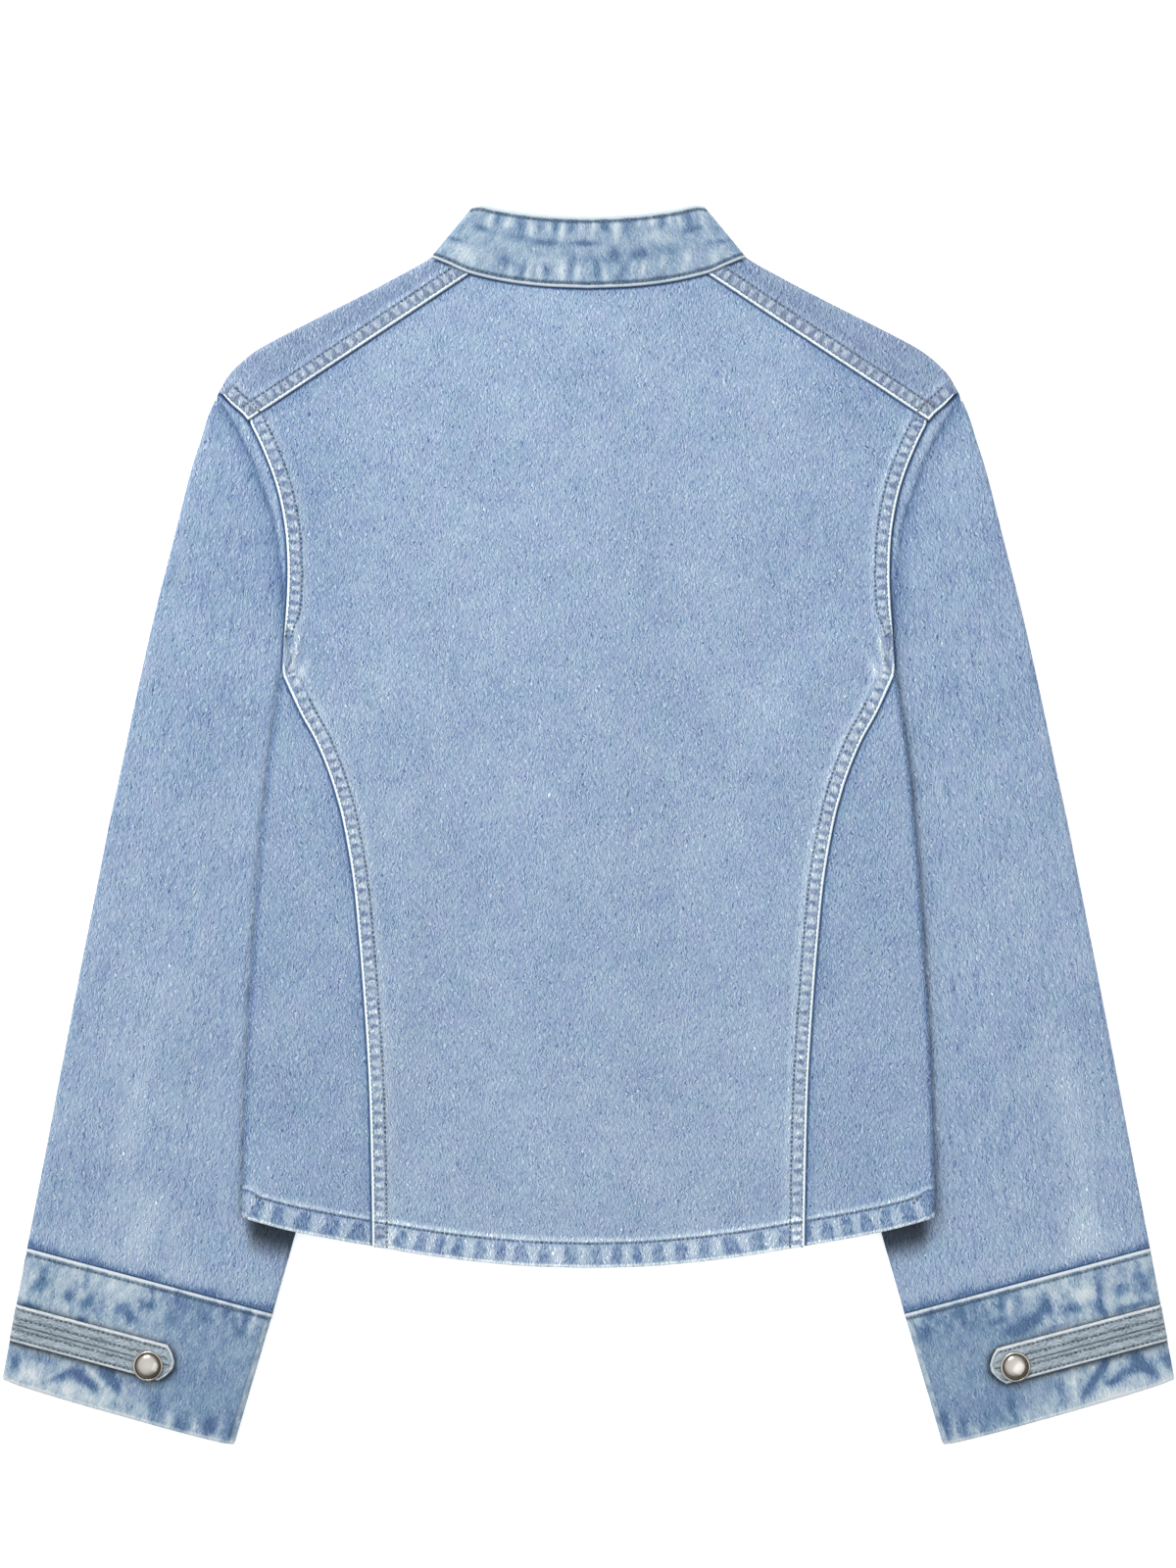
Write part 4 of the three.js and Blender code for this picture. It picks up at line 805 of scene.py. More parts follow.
# %% Sleeves
def sleeve(name, side):
    """A flattened sleeve, darker beside its seams, with painted shade at its step and beside the body's fold
    and a painted shadow under the hem.
    """
    outer, inner = sleeve_layers(side)
    px, py = outer[..., 0], outer[..., 1]
    girth = girth_of(outer)
    is_top = np.arange(px.shape[1]) < len(INNER_TURN) + SLEEVE_COLUMNS + 6
    arm_away = np.where(is_top, nearest(armhole, px, py)[0], 60)
    cuff_line = np.array([CUFF_INNER[0], CUFF_OUTER[0]])
    cuff_away = nearest(cuff_line, px, py)[0]
    cuff_sign = np.where(np.arange(len(outer))[:, None] >= len(outer) - 3, -1, 1)
    tuck = np.minimum(arm_away, cuff_away * cuff_sign)
    step_away = nearest(STEP_LINE, px, py)[0]
    pale = strokes(side * px, py, FADED[side]) + 0.06 * np.exp(-((cuff_away - 11) / 6) ** 2)
    # Above the cuff a ragged dark band: dye kept under the cuff's edge, and painted shade from that edge
    ragged = 3.0 + 1.5 * np.sin(girth / 5.3) + 1.2 * np.sin(girth / 2.9 + 1)
    pale = pale - 0.42 * np.exp(-(cuff_away / np.clip(ragged, 1.2, 9)) ** 2)
    # The sleeve head stands in a soft step beside the armhole: painted shade on its outer side, a darker
    # painted line along it, and a painted highlight on the strip between the step and the armhole
    beyond = px > np.interp(-py, -STEP_LINE[:, 1], STEP_LINE[:, 0])
    at_head = is_top * ease(py, 95, 140)
    step = np.where(beyond, np.exp(-step_away / 4.5), np.exp(-(step_away / 1.2) ** 2)) * at_head
    strip = 0.14 * hump(arm_away, 3.6, 1.6) * ~beyond * at_head
    step_line_shade = 0.26 * np.where(beyond, np.exp(-step_away / 1.3), np.exp(-(step_away / 0.6) ** 2))
    # Painted shadow: the lifted hem corner keeps the light off the sleeve below it
    below_hem = np.interp(px, hem[:, 0], hem[:, 1]) - py
    hem_corner_shadow = 0.86 * (1 - ease(below_hem, 7, 25)) * (below_hem > -8) * ease(-px, -199, -190) * is_top
    # Painted shade on the sleeve beside the side fold of the body that lies on it
    fold_away = nearest(side_fold, px, py)[0]
    beside = 0.5 * np.exp(-fold_away / 1.5) * (py < underarm[1]) * is_top
    lean = math.radians(10)
    grain_x = px * math.cos(lean) + py * math.sin(lean)
    grain_y = py * math.cos(lean) - px * math.sin(lean)
    looks = {"cloth": pair(side * grain_x + 2700, grain_y), "tuck": tuck,
             "wear_and_shade": pale - 0.26 * step - 0.04 * ease(py, -60, 150) + strip,
             "painted_shade": np.clip(hem_corner_shadow + beside + step_line_shade * at_head, 0, 1)}
    return shell(name, flip(outer, side), flip(inner, side), looks)


sleeves = [sleeve("sleeve_cloth_" + word, side) for word, side in (("left", -1), ("right", 1))]
print("sleeves:", [len(panel.data.polygons) for panel in sleeves])

# %% [markdown]
# ## Cuffs
# Each cuff is a closed band of two layers, worn hard: its folded edges are pale and the dye between them is
# blotched. Its upper edge lies on the sleeve.

# %% Marks on the cuffs
# Worn and dark places of each cuff, in millimetres of the jacket
CUFF_MARKS = {
    -1: [(-311, -257, 6, 3.0, 70, -0.42), (-314, -263, 6, 4, 40, -0.4), (-299, -269, 4, 3, 0, -0.25),
         (-286, -258, 6, 2.2, 80, -0.34), (-285, -274, 5, 3.8, 60, -0.5), (-296, -271, 4, 3, 30, -0.3),
         (-278, -270, 4, 2.2, 80, -0.2), (-268, -277, 3.5, 3.6, 0, -0.35), (-262, -281, 5, 4, 130, -0.5),
         (-252, -275, 5, 3, 160, -0.5), (-249, -267, 6, 1.8, 85, -0.4), (-235, -272, 7, 2.6, 80, -0.35),
         (-239, -284, 6, 4, 30, -0.25), (-217, -279, 6, 2.2, 80, -0.28), (-196, -282, 8, 2, 65, -0.35),
         (-199, -291, 4, 2.5, 30, -0.25), (-318, -276, 7, 2.6, -15, -0.6), (-290, -283, 3, 2, 0, -0.5),
         (-324, -252, 7, 2.5, 75, -0.2), (-205, -276, 5, 1.6, 80, -0.2), (-226, -276, 5, 1.6, 80, -0.2),
         (-327, -306, 6, 3.5, 75, -0.45), (-313, -305, 6, 3.4, -15, -0.35), (-303, -316, 7, 1.8, 22, -0.6),
         (-291, -315, 6, 3.4, -25, -0.6), (-284, -321, 6, 2.4, -52, -0.75), (-275, -314, 6, 3.8, -40, -0.65),
         (-270, -321, 5, 2.2, -60, -0.55), (-304, -325, 4, 2.2, 60, -0.3), (-271, -332, 5, 1.6, 70, -0.25),
         (-233, -343, 5, 3, 80, -0.34), (-217, -344, 6, 3.0, 80, -0.4), (-205, -347, 5, 3, 80, -0.4),
         (-249, -331, 5, 2, 80, -0.25), (-258, -318, 8, 2, -15, -0.2), (-245, -327, 9, 1.2, 80, -0.15),
         (-281, -316, 6, 1.1, -50, 0.45), (-322, -262, 7, 4, 75, 0.12), (-297, -258, 6, 3.4, 80, 0.14),
         (-271, -263, 11, 7, -15, 0.16), (-319, -313, 8, 4, -15, 0.26), (-300, -323, 12, 4, -15, 0.26),
         (-276, -327, 10, 4, -15, 0.18), (-240, -341, 6, 2.2, 80, 0.25), (-225, -345, 6, 2, 80, 0.25),
         (-211, -346, 6, 1.6, 80, 0.3), (-192, -284, 8, 1.8, 70, 0.3), (-254, -338, 6, 2, 80, 0.15)],
    1: [(316, -262, 7, 3.6, 95, -0.5), (304, -266, 4, 3.2, 0, -0.4), (307, -257, 5, 2, 90, -0.2),
        (291, -263, 7, 2.2, 95, -0.42), (293, -276, 6, 2.4, 105, -0.6), (275, -277, 5, 3.6, 20, -0.55),
        (262, -275, 6, 3, 110, -0.55), (253, -283, 9, 4, 35, -0.55), (245, -289, 8, 3.4, 15, -0.45),
        (246, -272, 5, 2, 105, -0.3), (233, -284, 5, 2.2, 15, -0.35), (235, -275, 6, 1.7, 95, -0.3),
        (213, -280, 6, 2, 105, -0.25), (192, -291, 5, 4, 140, -0.3), (312, -275, 12, 1.5, 15, -0.45),
        (268, -287, 8, 1.2, 15, -0.4), (202, -283, 6, 2, 100, -0.2), (314, -306, 6, 4, -70, -0.7),
        (321, -312, 6, 3, -45, -0.6), (308, -313, 9, 3, 15, -0.5), (300, -318, 5, 1.6, 20, -0.6),
        (293, -311, 9, 2.6, 60, -0.75), (286, -321, 6, 2.2, 60, -0.7), (330, -305, 5, 3.4, -60, -0.45),
        (270, -323, 7, 2.4, 95, -0.35), (283, -330, 5, 1.6, 95, -0.25), (241, -332, 6, 3, 95, -0.25),
        (203, -341, 7, 3.2, 95, -0.35), (215, -343, 5, 2, 95, -0.25), (228, -340, 5, 1.8, 95, -0.2),
        (283, -268, 7, 5, 15, 0.22), (300, -327, 13, 4, 15, 0.3), (277, -320, 8, 3, 105, 0.25),
        (257, -334, 9, 4, 15, 0.2), (330, -318, 6, 3, 60, 0.3), (298, -268, 7, 2.2, 95, 0.15),
        (222, -344, 6, 1.8, 95, 0.2), (209, -345, 6, 1.8, 95, 0.22), (188, -284, 5, 2, 110, 0.3),
        (268, -266, 6, 3, 95, 0.16), (240, -276, 5, 1.6, 95, 0.2), (250, -270, 5, 2.0, 95, 0.15)]}
print("marks placed by hand:", {side: len(marks) for side, marks in CUFF_MARKS.items()})

# %% Cuffs
TAB_START = np.array([329.1, -284.5])
TAB_WAY = np.array([-0.966, -0.258]) / np.hypot(0.966, 0.258)
TAB_ACROSS = np.array([-TAB_WAY[1], TAB_WAY[0]])
TAB_LENGTH = {-1: 95.5, 1: 103.0}
TAB_HALF = 10.5


def cuff(name, side):
    """A closed band: top, outer fold, underside and inner fold."""
    inner_ends, outer_ends = np.array(CUFF_INNER), np.array(CUFF_OUTER)
    tall = float(np.linalg.norm(outer_ends[1] - outer_ends[0]))
    vs = shares(tall, 52, BAND_EDGE, (0, 0.3, 0.8, 1.5, 2.5, 4))
    inner_line = inner_ends[0] + vs[:, None] * (inner_ends[1] - inner_ends[0])
    outer_line = outer_ends[0] + vs[:, None] * (outer_ends[1] - outer_ends[0])
    way_in = (inner_ends[1] - inner_ends[0]) / np.linalg.norm(inner_ends[1] - inner_ends[0])
    way_out = (outer_ends[1] - outer_ends[0]) / tall
    normal_in = np.array([-way_in[1], way_in[0]])
    normal_in *= np.sign((normal_in * (inner_ends[0] - outer_ends[0])).sum())
    normal_out = np.array([way_out[1], -way_out[0]])
    normal_out *= np.sign((normal_out * (outer_ends[0] - inner_ends[0])).sum())
    radius = CUFF_TOP / 2
    us = np.linspace(0, 1, 106)
    angles = (80, 60, 40, 20, 0, -20, -40, -60, -80)
    from_top, from_end = vs * tall, (1 - vs) * tall
    edges = np.minimum(rounded(from_top, 1.0), rounded(from_end, 1.4))
    relief = 0.7 * edges - 0.7 - 0.45 * hump(from_top, 3.0, 0.6) - 0.3 * (from_top <= 0)
    grids = []
    for inset in (0, COLLAR_WALL):
        sunk = inset - relief * (inset == 0)
        start = inner_line - normal_in * radius
        end = outer_line - normal_out * radius
        flat = start[:, None] + us[None, :, None] * (end - start)[:, None]
        # The end of the cuff bows out a little between its rounded corners
        bow = 1.6 * (4 * us * (1 - us)) ** 0.5 * vs[:, None] ** 3
        flat = flat + bow[..., None] * (way_in + way_out) / 2
        x, y = flat[..., 0], flat[..., 1]
        swell = ripple(side * x * 1.5 + 50, y * 1.5, 0.3) * (inset == 0)
        swell = swell * ease(us, 0, 0.1) * (1 - ease(us, 0.9, 1))
        top = pair(x, y, CUFF_TOP + 0.5 + swell - sunk[:, None])
        turned = []
        for line, normal, turn in ((outer_line, normal_out, angles), (inner_line, normal_in, angles[::-1])):
            turned.append(np.concatenate([
                fold(line[k:k + 1], normal[None], radius, 0, CUFF_TOP, turn, float(sunk[k]))
                for k in range(len(vs))]))
        turned_out, turned_in = turned
        low = pair(x[:, ::-3], y[:, ::-3], np.broadcast_to(float(inset), x[:, ::-3].shape))
        grids.append(np.concatenate([top, turned_out, low, turned_in], 1))
    outer, inner = grids
    outer[..., 2] = np.maximum(outer[..., 2], 0)
    girth = girth_of(outer)
    top_away = np.broadcast_to(from_top[:, None], outer.shape[:2])
    end_away = np.broadcast_to(from_end[:, None], outer.shape[:2])
    across = np.concatenate([us, np.full(outer.shape[1] - len(us), 1.0)])
    inside = ease(from_top, 8, 20) * ease(from_end, 6, 16)
    smooth_part = ease(0.62 - across, 0.0, 0.25)[None] * inside[:, None]
    px, py = outer[..., 0], outer[..., 1]
    marked = strokes(side * px, py, CUFF_MARKS[side]) * (outer[..., 2] > 2)
    pale = 0.24 * ease(across, 0.25, 0.62)[None] + 0.08 * (1 - ease(end_away, 2, 12))
    stitched = -0.3 * hump(top_away, 3.1, 1.0)
    # Painted shadow of the tab on the cuff beside its edges, reaching further below its lower edge, and
    # painted shade in the groove of the top row of stitches
    flat_end = TAB_START + TAB_WAY * (TAB_LENGTH[side] - 10)
    tab_line = np.array([TAB_START, flat_end])
    tab_away = nearest(tab_line, px, py)[0]
    lower = (px - TAB_START[0]) * TAB_ACROSS[0] + (py - TAB_START[1]) * TAB_ACROSS[1] > 0
    reach = np.where(lower, 1.8, 1.5)
    past = np.clip(tab_away - TAB_HALF - np.where(lower, 0.8, 0.3), 0, None)
    shaded = np.exp(-past / reach) * (outer[..., 2] > 4)
    looks = {"cloth": pair(girth + 3600 * (side > 0), -top_away), "seam": pair(top_away, girth),
             "hem": pair(end_away, girth), "wear_and_shade": marked + pale + stitched - 0.13,
             "wear": 1 - 0.6 * smooth_part,
             "painted_shade": np.clip(shaded * 0.8 + 0.3 * hump(top_away, 3.1, 0.75), 0, 1)}
    return shell(name, flip(outer, side), flip(inner, side), looks, ring=True)


cuffs = [cuff("cuff_band_" + word, side) for word, side in (("left", -1), ("right", 1))]
print("cuffs:", [len(panel.data.polygons) for panel in cuffs])

# %% [markdown]
# ## Cuff tabs
# A tab is a narrow strip folded to the middle and stitched four times, so a groove runs down its centre. It
# starts in the outer fold of the cuff and ends in a blunt point past the button.

# %% Tabs
TAB_POINT, TAB_WALL = 6.5, 1.9
TAB_BUTTON = {-1: (251.4, -309.1), 1: (243.6, -309.6)}
TAB_ROWS = (-0.78, -0.3, 0.3, 0.78)


def tab(name, side):
    """A tab, from the outer fold of its cuff to its blunt point."""
    radius = CUFF_TOP / 2
    flat = TAB_LENGTH[side] - radius
    fold_way = np.array(CUFF_OUTER[1]) - CUFF_OUTER[0]
    fold_way = fold_way / np.linalg.norm(fold_way)
    point = flat - TAB_POINT * np.array([0.85, 0.7, 0.55, 0.4, 0.25, 0.12, 0.04, 0])
    reach = np.concatenate([np.linspace(0, flat - TAB_POINT, 66), point])
    tapers = [0, flat - TAB_POINT, flat - 0.45 * TAB_POINT, flat - 0.1, flat]
    half = np.interp(reach, tapers, np.array([1, 1, 0.66, 0.2, 0.12]) * TAB_HALF)
    across = np.sin(np.linspace(-1, 1, 41) * math.pi / 2)
    across = 0.5 * across + 0.5 * np.linspace(-1, 1, 41)
    shift = np.linspace(0, 1, len(reach))[:, None] ** 0.3
    sideways = fold_way * (1 - shift) + TAB_ACROSS * np.sign((fold_way * TAB_ACROSS).sum()) * shift
    plan = TAB_START + TAB_WAY * (radius + reach)[:, None]
    plan = plan[:, None] + across[None, :, None] * half[:, None, None] * sideways[:, None]
    x, y = plan[..., 0], plan[..., 1]
    edge_away = np.minimum((1 - np.abs(across))[None] * half[:, None], (flat - reach)[:, None])
    rim = rounded(edge_away, 0.9)
    grooves = sum(0.28 * hump(across[None] * TAB_HALF, row * TAB_HALF, 0.5) for row in TAB_ROWS)
    middle = 0.75 * hump(across[None] * TAB_HALF, 0.8, 0.55) * ease(flat - reach, 18, 26)[:, None]
    wander = 0.15 * np.sin(reach / 4.1)[:, None] * np.cos(across * 5)[None]
    top = CUFF_TOP + 0.9 + TAB_WALL * rim + wander - grooves - middle
    outer = pair(x, y, top)
    inner = pair(x, y, CUFF_TOP + 0.55)
    # Over the fold
    angles = np.radians([38, 50, 62, 74, 84])
    bends = []
    for off, low_off in ((TAB_WALL + 0.9, 0.9), (0.55, 0.2)):
        fold_side = fold_way * np.sign((fold_way * sideways[0]).sum())
        base = TAB_START + across[None, :, None] * TAB_HALF * fold_side
        rise = radius + np.interp(angles, [angles[0], angles[-1]], [low_off, off])
        bend = base + TAB_WAY * (radius - np.cos(angles) * rise)[:, None, None]
        z = radius + np.sin(angles) * rise
        level = np.interp(angles, [angles[0], math.pi / 2], [0.5, 1.0])
        drop = (outer[0, :, 2].max() - outer[0, :, 2])[None] * level[:, None] if off > 1 else 0
        bends.append(pair(bend[..., 0], bend[..., 1], z[:, None] - drop))
    outer, inner = np.concatenate([bends[0], outer]), np.concatenate([bends[1], inner])
    reach_all = np.concatenate([np.array([-5, -4, -3, -2, -1.0]), reach])
    edge_all = np.concatenate([np.repeat(((1 - np.abs(across)) * TAB_HALF)[None], 5, 0), edge_away])
    wide_place, long_place = (grid.T for grid in np.meshgrid(reach_all, across * TAB_HALF)[::-1])
    # Painted shade in the centre groove and in the buttonhole slit
    groove = hump(wide_place, 0.8, 0.5) * ease(flat - long_place, 17, 24)
    ropes = sum(hump(wide_place, row * TAB_HALF, 0.9) for row in TAB_ROWS) * (flat - long_place > 4)
    slit = hump(wide_place, 0.5, 0.8) * (long_place > flat - 7.5) * (long_place < flat - 1.8)
    looks = {"cloth": pair(wide_place, long_place), "seam": pair(edge_all, long_place),
             "wear_and_shade": -0.24 * ropes, "wear": 1.0, "painted_shade": 0.85 * np.clip(groove + slit, 0, 1)}
    return shell(name, flip(outer, side), flip(inner, side), looks)


tabs = [tab("tab_strip_" + word, side) for word, side in (("left", -1), ("right", 1))]
print("tabs:", [len(panel.data.polygons) for panel in tabs])

# %% [markdown]
# ## Buttons
# A jacket button is a pressed metal cap: a rolled rim and a shallow dome. A turned profile gives both, with
# enough steps for a clean highlight.

# %% Buttons
# Reach and height, from the middle of the back round the rim to the top of the dome
BUTTON_PROFILE = [(0, 0), (7.2, 0), (8.2, 0.25), (8.55, 0.7), (8.6, 1.2), (8.45, 1.6), (8.1, 1.85),
                  (7.75, 1.85), (7.45, 1.6), (7.3, 1.3), (7.2, 1.2), (7.0, 1.4), (6.7, 1.8), (6.2, 2.25),
                  (5.4, 2.7), (4.4, 3.05), (3.3, 3.3), (2.2, 3.45), (1.1, 3.54), (0, 3.57)]
BUTTON_SIDES = 72


def button(name, x, y, z, down=False, sides=BUTTON_SIDES):
    """A turned button with its back at z, facing down if asked."""
    profile = np.array(BUTTON_PROFILE)
    angle = np.linspace(0, 2 * math.pi, sides, endpoint=False)
    rings = [(r, h) for r, h in profile if r > 0]
    points = [(r * math.cos(a), r * math.sin(a), h) for r, h in rings for a in angle]
    faces = [(k + n, k + (n + 1) % sides, k + sides + (n + 1) % sides, k + sides + n)
             for k in range(0, (len(rings) - 1) * sides, sides) for n in range(sides)]
    points += [(0, 0, profile[0, 1]), (0, 0, profile[-1, 1])]
    low, high = len(points) - 2, len(points) - 1
    faces += [(low, (n + 1) % sides, n) for n in range(sides)]
    last = (len(rings) - 1) * sides
    faces += [(high, last + n, last + (n + 1) % sides) for n in range(sides)]
    points = np.array(points)
    if down:
        points = points * [1, -1, -1]
    mesh = bpy.data.meshes.new(name)
    mesh.from_pydata(((points + [x, y, z]) * MM).tolist(), [], faces)
    reach = np.hypot(points[:, 0], points[:, 1])
    lower_right = points[:, 0] * 0.64 - points[:, 1] * 0.77
    place = np.stack([reach, lower_right, 0 * reach], 1)
    mesh.attributes.new("place", "FLOAT_VECTOR", "POINT").data.foreach_set("vector", place.ravel())
    mesh.shade_smooth()
    made = bpy.data.objects.new(name, mesh)
    bpy.context.scene.collection.objects.link(made)
    return made


TAB_SURFACE = CUFF_TOP + 0.9 + TAB_WALL
# The front buttons hang face down, so their domes just touch the table
TOP_BUTTON, BUTTON_SPACING, BUTTON_BACK = 222, 88, 3.6
buttons = [button("tab_button_" + word, side * TAB_BUTTON[side][0], TAB_BUTTON[side][1], TAB_SURFACE - 0.1)
           for word, side in (("left", -1), ("right", 1))]
front_buttons = [button(f"placket_button_{k + 1}", 0, TOP_BUTTON - BUTTON_SPACING * k, BUTTON_BACK, True, 36)
                 for k in range(6)]
print("buttons:", len(buttons) + len(front_buttons))

# %% [markdown]
# ## Stitches
# Every row of stitches follows a line on the cloth. A ray dropped on each panel gives the line its height,
# and Geometry Nodes set one small thread loop after another along it.

# %% Lines of stitching
def offset(line, away, towards):
    """A line moved sideways by a distance, towards a point."""
    return line - outward_of(line, np.array(towards)) * away


def laid_on(targets, line, step=3.0):
    """Points of a plan line dropped on to panels, as places in metres."""
    count = max(2, int(run_of(line)[-1] / step))
    plan = at(line, np.linspace(0, 1, count))
    found = []
    for x, y in plan * MM:
        origin, way = Vector((x, y, 1)), Vector((0, 0, -1))
        hits = [tree.ray_cast(origin, way)[0] for tree in targets]
        hits = [hit for hit in hits if hit]
        if hits:
            found.append(min(hits, key=lambda hit: (hit - origin).length))
    return found


graph = bpy.context.evaluated_depsgraph_get()
bpy.context.view_layer.update()
panels = [back, stand_collar, *sides, *fronts, *sleeves, *cuffs, *tabs]
tree_of = {made.name: BVHTree.FromObject(made, graph) for made in panels}
stitch_lines, edge_lines = [], []
for side, word in ((-1, "left"), (1, "right")):
    mirror = np.array([side, 1])
    on_body = [tree_of["back"], tree_of["side_panel_" + word], tree_of["front_cloth_" + word]]
    seam_low = back_seam[4:]
    arm_low = armhole[(armhole[:, 1] < 232) & (armhole[:, 1] > 107)]
    arm_high = armhole[(armhole[:, 1] > 229) & (armhole[:, 1] < 245)]
    for row, rows in ((FIRST_ROW, edge_lines), (SECOND_ROW, stitch_lines)):
        rows.append(laid_on([tree_of["back"]], offset(seam_low, row, (0, 0)) * mirror))
        narrow = row * (1 - 0.5 * ease(-arm_low[:, 1:], -126, -106))
        rows.append(laid_on([tree_of["back"]], offset(arm_low, narrow, (0, 150)) * mirror))
        rows.append(laid_on([tree_of["front_cloth_" + word]], offset(arm_high, row, (150, 290)) * mirror))
        shoulder = at(offset(shoulder_seam, row, (150, 300)), np.linspace(0.02, 0.985, 40))
        rows.append(laid_on([tree_of["front_cloth_" + word]], shoulder * mirror))
    hem_line = offset(hem, HEM_ROW, (60, 0))
    stitch_lines.append(laid_on(on_body, hem_line[hem_line[:, 0] < 196] * mirror))
    cuff_top = np.array([CUFF_INNER[0], CUFF_OUTER[0]])
    cuff_row = at(offset(cuff_top, 3.0, (270, -350)), np.linspace(0.004, 0.996, 50))
    stitch_lines.append(laid_on([tree_of["cuff_band_" + word]], cuff_row * mirror))
    far = TAB_LENGTH[side] - CUFF_TOP / 2
    for row in TAB_ROWS:
        stop = far - (4.5 if abs(row) > 0.5 else 13)
        line = TAB_START + TAB_WAY * np.linspace(2, stop, 30)[:, None] + TAB_ACROSS * row * TAB_HALF
        stitch_lines.append(laid_on([tree_of["tab_strip_" + word]], line * mirror, 2.6))
collar_points = smooth(COLLAR_BACK, 2.0)
for share in np.array(COLLAR_ROWS) / COLLAR_TALL:
    half = collar_points[:, :2] + share * (collar_points[:, 2:] - collar_points[:, :2])
    start = NECK_FOLD[:2] + share * (NECK_FOLD[2:] - NECK_FOLD[:2])
    half = np.vstack([start + [-1.5, -0.8], half])
    stitch_lines.append(laid_on([tree_of["stand_collar"]], np.vstack([half, (half * [-1, 1])[:-1][::-1]])))
print("stitch rows:", len(stitch_lines), "and at folded edges", len(edge_lines))

# %% Colours as sRGB codes
def srgb(code):
    """Linear colour from an sRGB hex code."""
    parts = [int(code[k:k + 2], 16) / 255 for k in (1, 3, 5)]
    return [part / 12.92 if part <= 0.04045 else ((part + 0.055) / 1.055) ** 2.4 for part in parts] + [1.0]


def add(tree, kind, inputs=(), output=0, **settings):
    """Adds one node with its settings and links, and returns one of its outputs."""
    node = tree.nodes.new(kind)
    for key, value in settings.items():
        setattr(node, key, value)
    for key, value in dict(inputs).items():
        if isinstance(value, bpy.types.NodeSocket):
            tree.links.new(value, node.inputs[key])
        else:
            node.inputs[key].default_value = value
    return node.outputs[output] if len(node.outputs) else node


# %% [markdown]
# ## The grain of denim
# Denim is a twill of blue warp and white weft. Washing rubs the dye off the high threads, so the cloth shows
# short pale and blue streaks along the warp. The real threads are 0.5 mm apart, finer than a pixel of this
# picture, so they are drawn as streaks of 0.8 by 2.6 mm. Noise places them: bent a little, then stretched.
# Each streak gets a painted lit side and a painted shaded side, and the sleeves get painted shade and
# painted highlight of soft creases.

# %% Grain
MATH, VECTOR = "ShaderNodeMath", "ShaderNodeVectorMath"
RAMP, NOISE = "ShaderNodeMapRange", "ShaderNodeTexNoise"
ADD, TIMES, TIMES_ADD = {"operation": "ADD"}, {"operation": "MULTIPLY"}, {"operation": "MULTIPLY_ADD"}
SMOOTH = {"interpolation_type": "SMOOTHSTEP"}


def grain_of(tree, cloth, slub, weave, drawn):
    """The swing of the threads about 0, with their painted light and shade and the painted shading of
    creases, and the bent place on the cloth that they follow.
    """
    bend = add(tree, NOISE, {"Vector": cloth, "Scale": 0.36, "Detail": 1.0}, output=1)
    bent = add(tree, VECTOR, {0: bend, 1: (3.6, 3.4, 0), 2: cloth}, **TIMES_ADD)
    placed = add(tree, "ShaderNodeMapping", {0: bent, 2: (0, 0, 0.3), 3: (1 / slub[0], 1 / slub[1], 1)})
    # The middle value of a noise runs in short curled threads
    curls = add(tree, NOISE, {"Vector": placed, "Scale": 0.6, "Detail": 1.0, "Roughness": 0.5})
    curls = add(tree, MATH, {0: curls, 1: -0.5}, **ADD)
    curls = add(tree, MATH, {0: curls}, operation="ABSOLUTE")
    curls = add(tree, RAMP, {0: curls, 1: 0.01, 2: 0.085, 3: -0.23, 4: 0.101}, **SMOOTH)
    # Painted light and shade of the threads: each thread is painted lit on one side and shaded on the other,
    # from the same noise taken half a thread to one side
    beside = add(tree, VECTOR, {0: placed, 1: (0.46, 0.1, 0)}, **ADD)
    beside = add(tree, NOISE, {"Vector": beside, "Scale": 1.0, "Detail": 0.4, "Roughness": 0.5})
    here = add(tree, NOISE, {"Vector": placed, "Scale": 1.0, "Detail": 0.4, "Roughness": 0.5})
    relief = add(tree, MATH, {0: beside, 1: here}, operation="SUBTRACT")
    grain = add(tree, MATH, {0: relief, 1: 2.4, 2: curls}, **TIMES_ADD)
    grain = add(tree, MATH, {0: grain, 1: weave}, **TIMES)
    # Painted shade and painted highlight of long soft creases down a sleeve
    crease_shading = add(tree, "ShaderNodeMapping", {0: bent, 3: (1 / 1.7, 1 / 26, 1)})
    crease_shading = add(tree, NOISE, {"Vector": crease_shading, "Scale": 0.9, "Detail": 2.0})
    dark = add(tree, RAMP, {0: crease_shading, 1: 0.56, 2: 0.66, 3: 0.0, 4: -drawn}, **SMOOTH)
    pale = add(tree, RAMP, {0: crease_shading, 1: 0.3, 2: 0.42, 3: 0.5 * drawn, 4: 0.0}, **SMOOTH)
    for part in (dark, pale):
        grain = add(tree, MATH, {0: grain, 1: part}, **ADD)
    return grain, bent


print("the grain takes a width and length of its streaks, and two strengths")

# %% [markdown]
# ## Puckers at seams and hem
# Between the two rows of a felled seam the cloth puckers into a ladder of pale rungs; the hem shows dark
# blocks between pale bars. Both are a sine of the run along the edge, pushed about by a slow noise so that no
# two are alike, and cut to their band by the distance from the edge. Past the rows lies a pale halo.

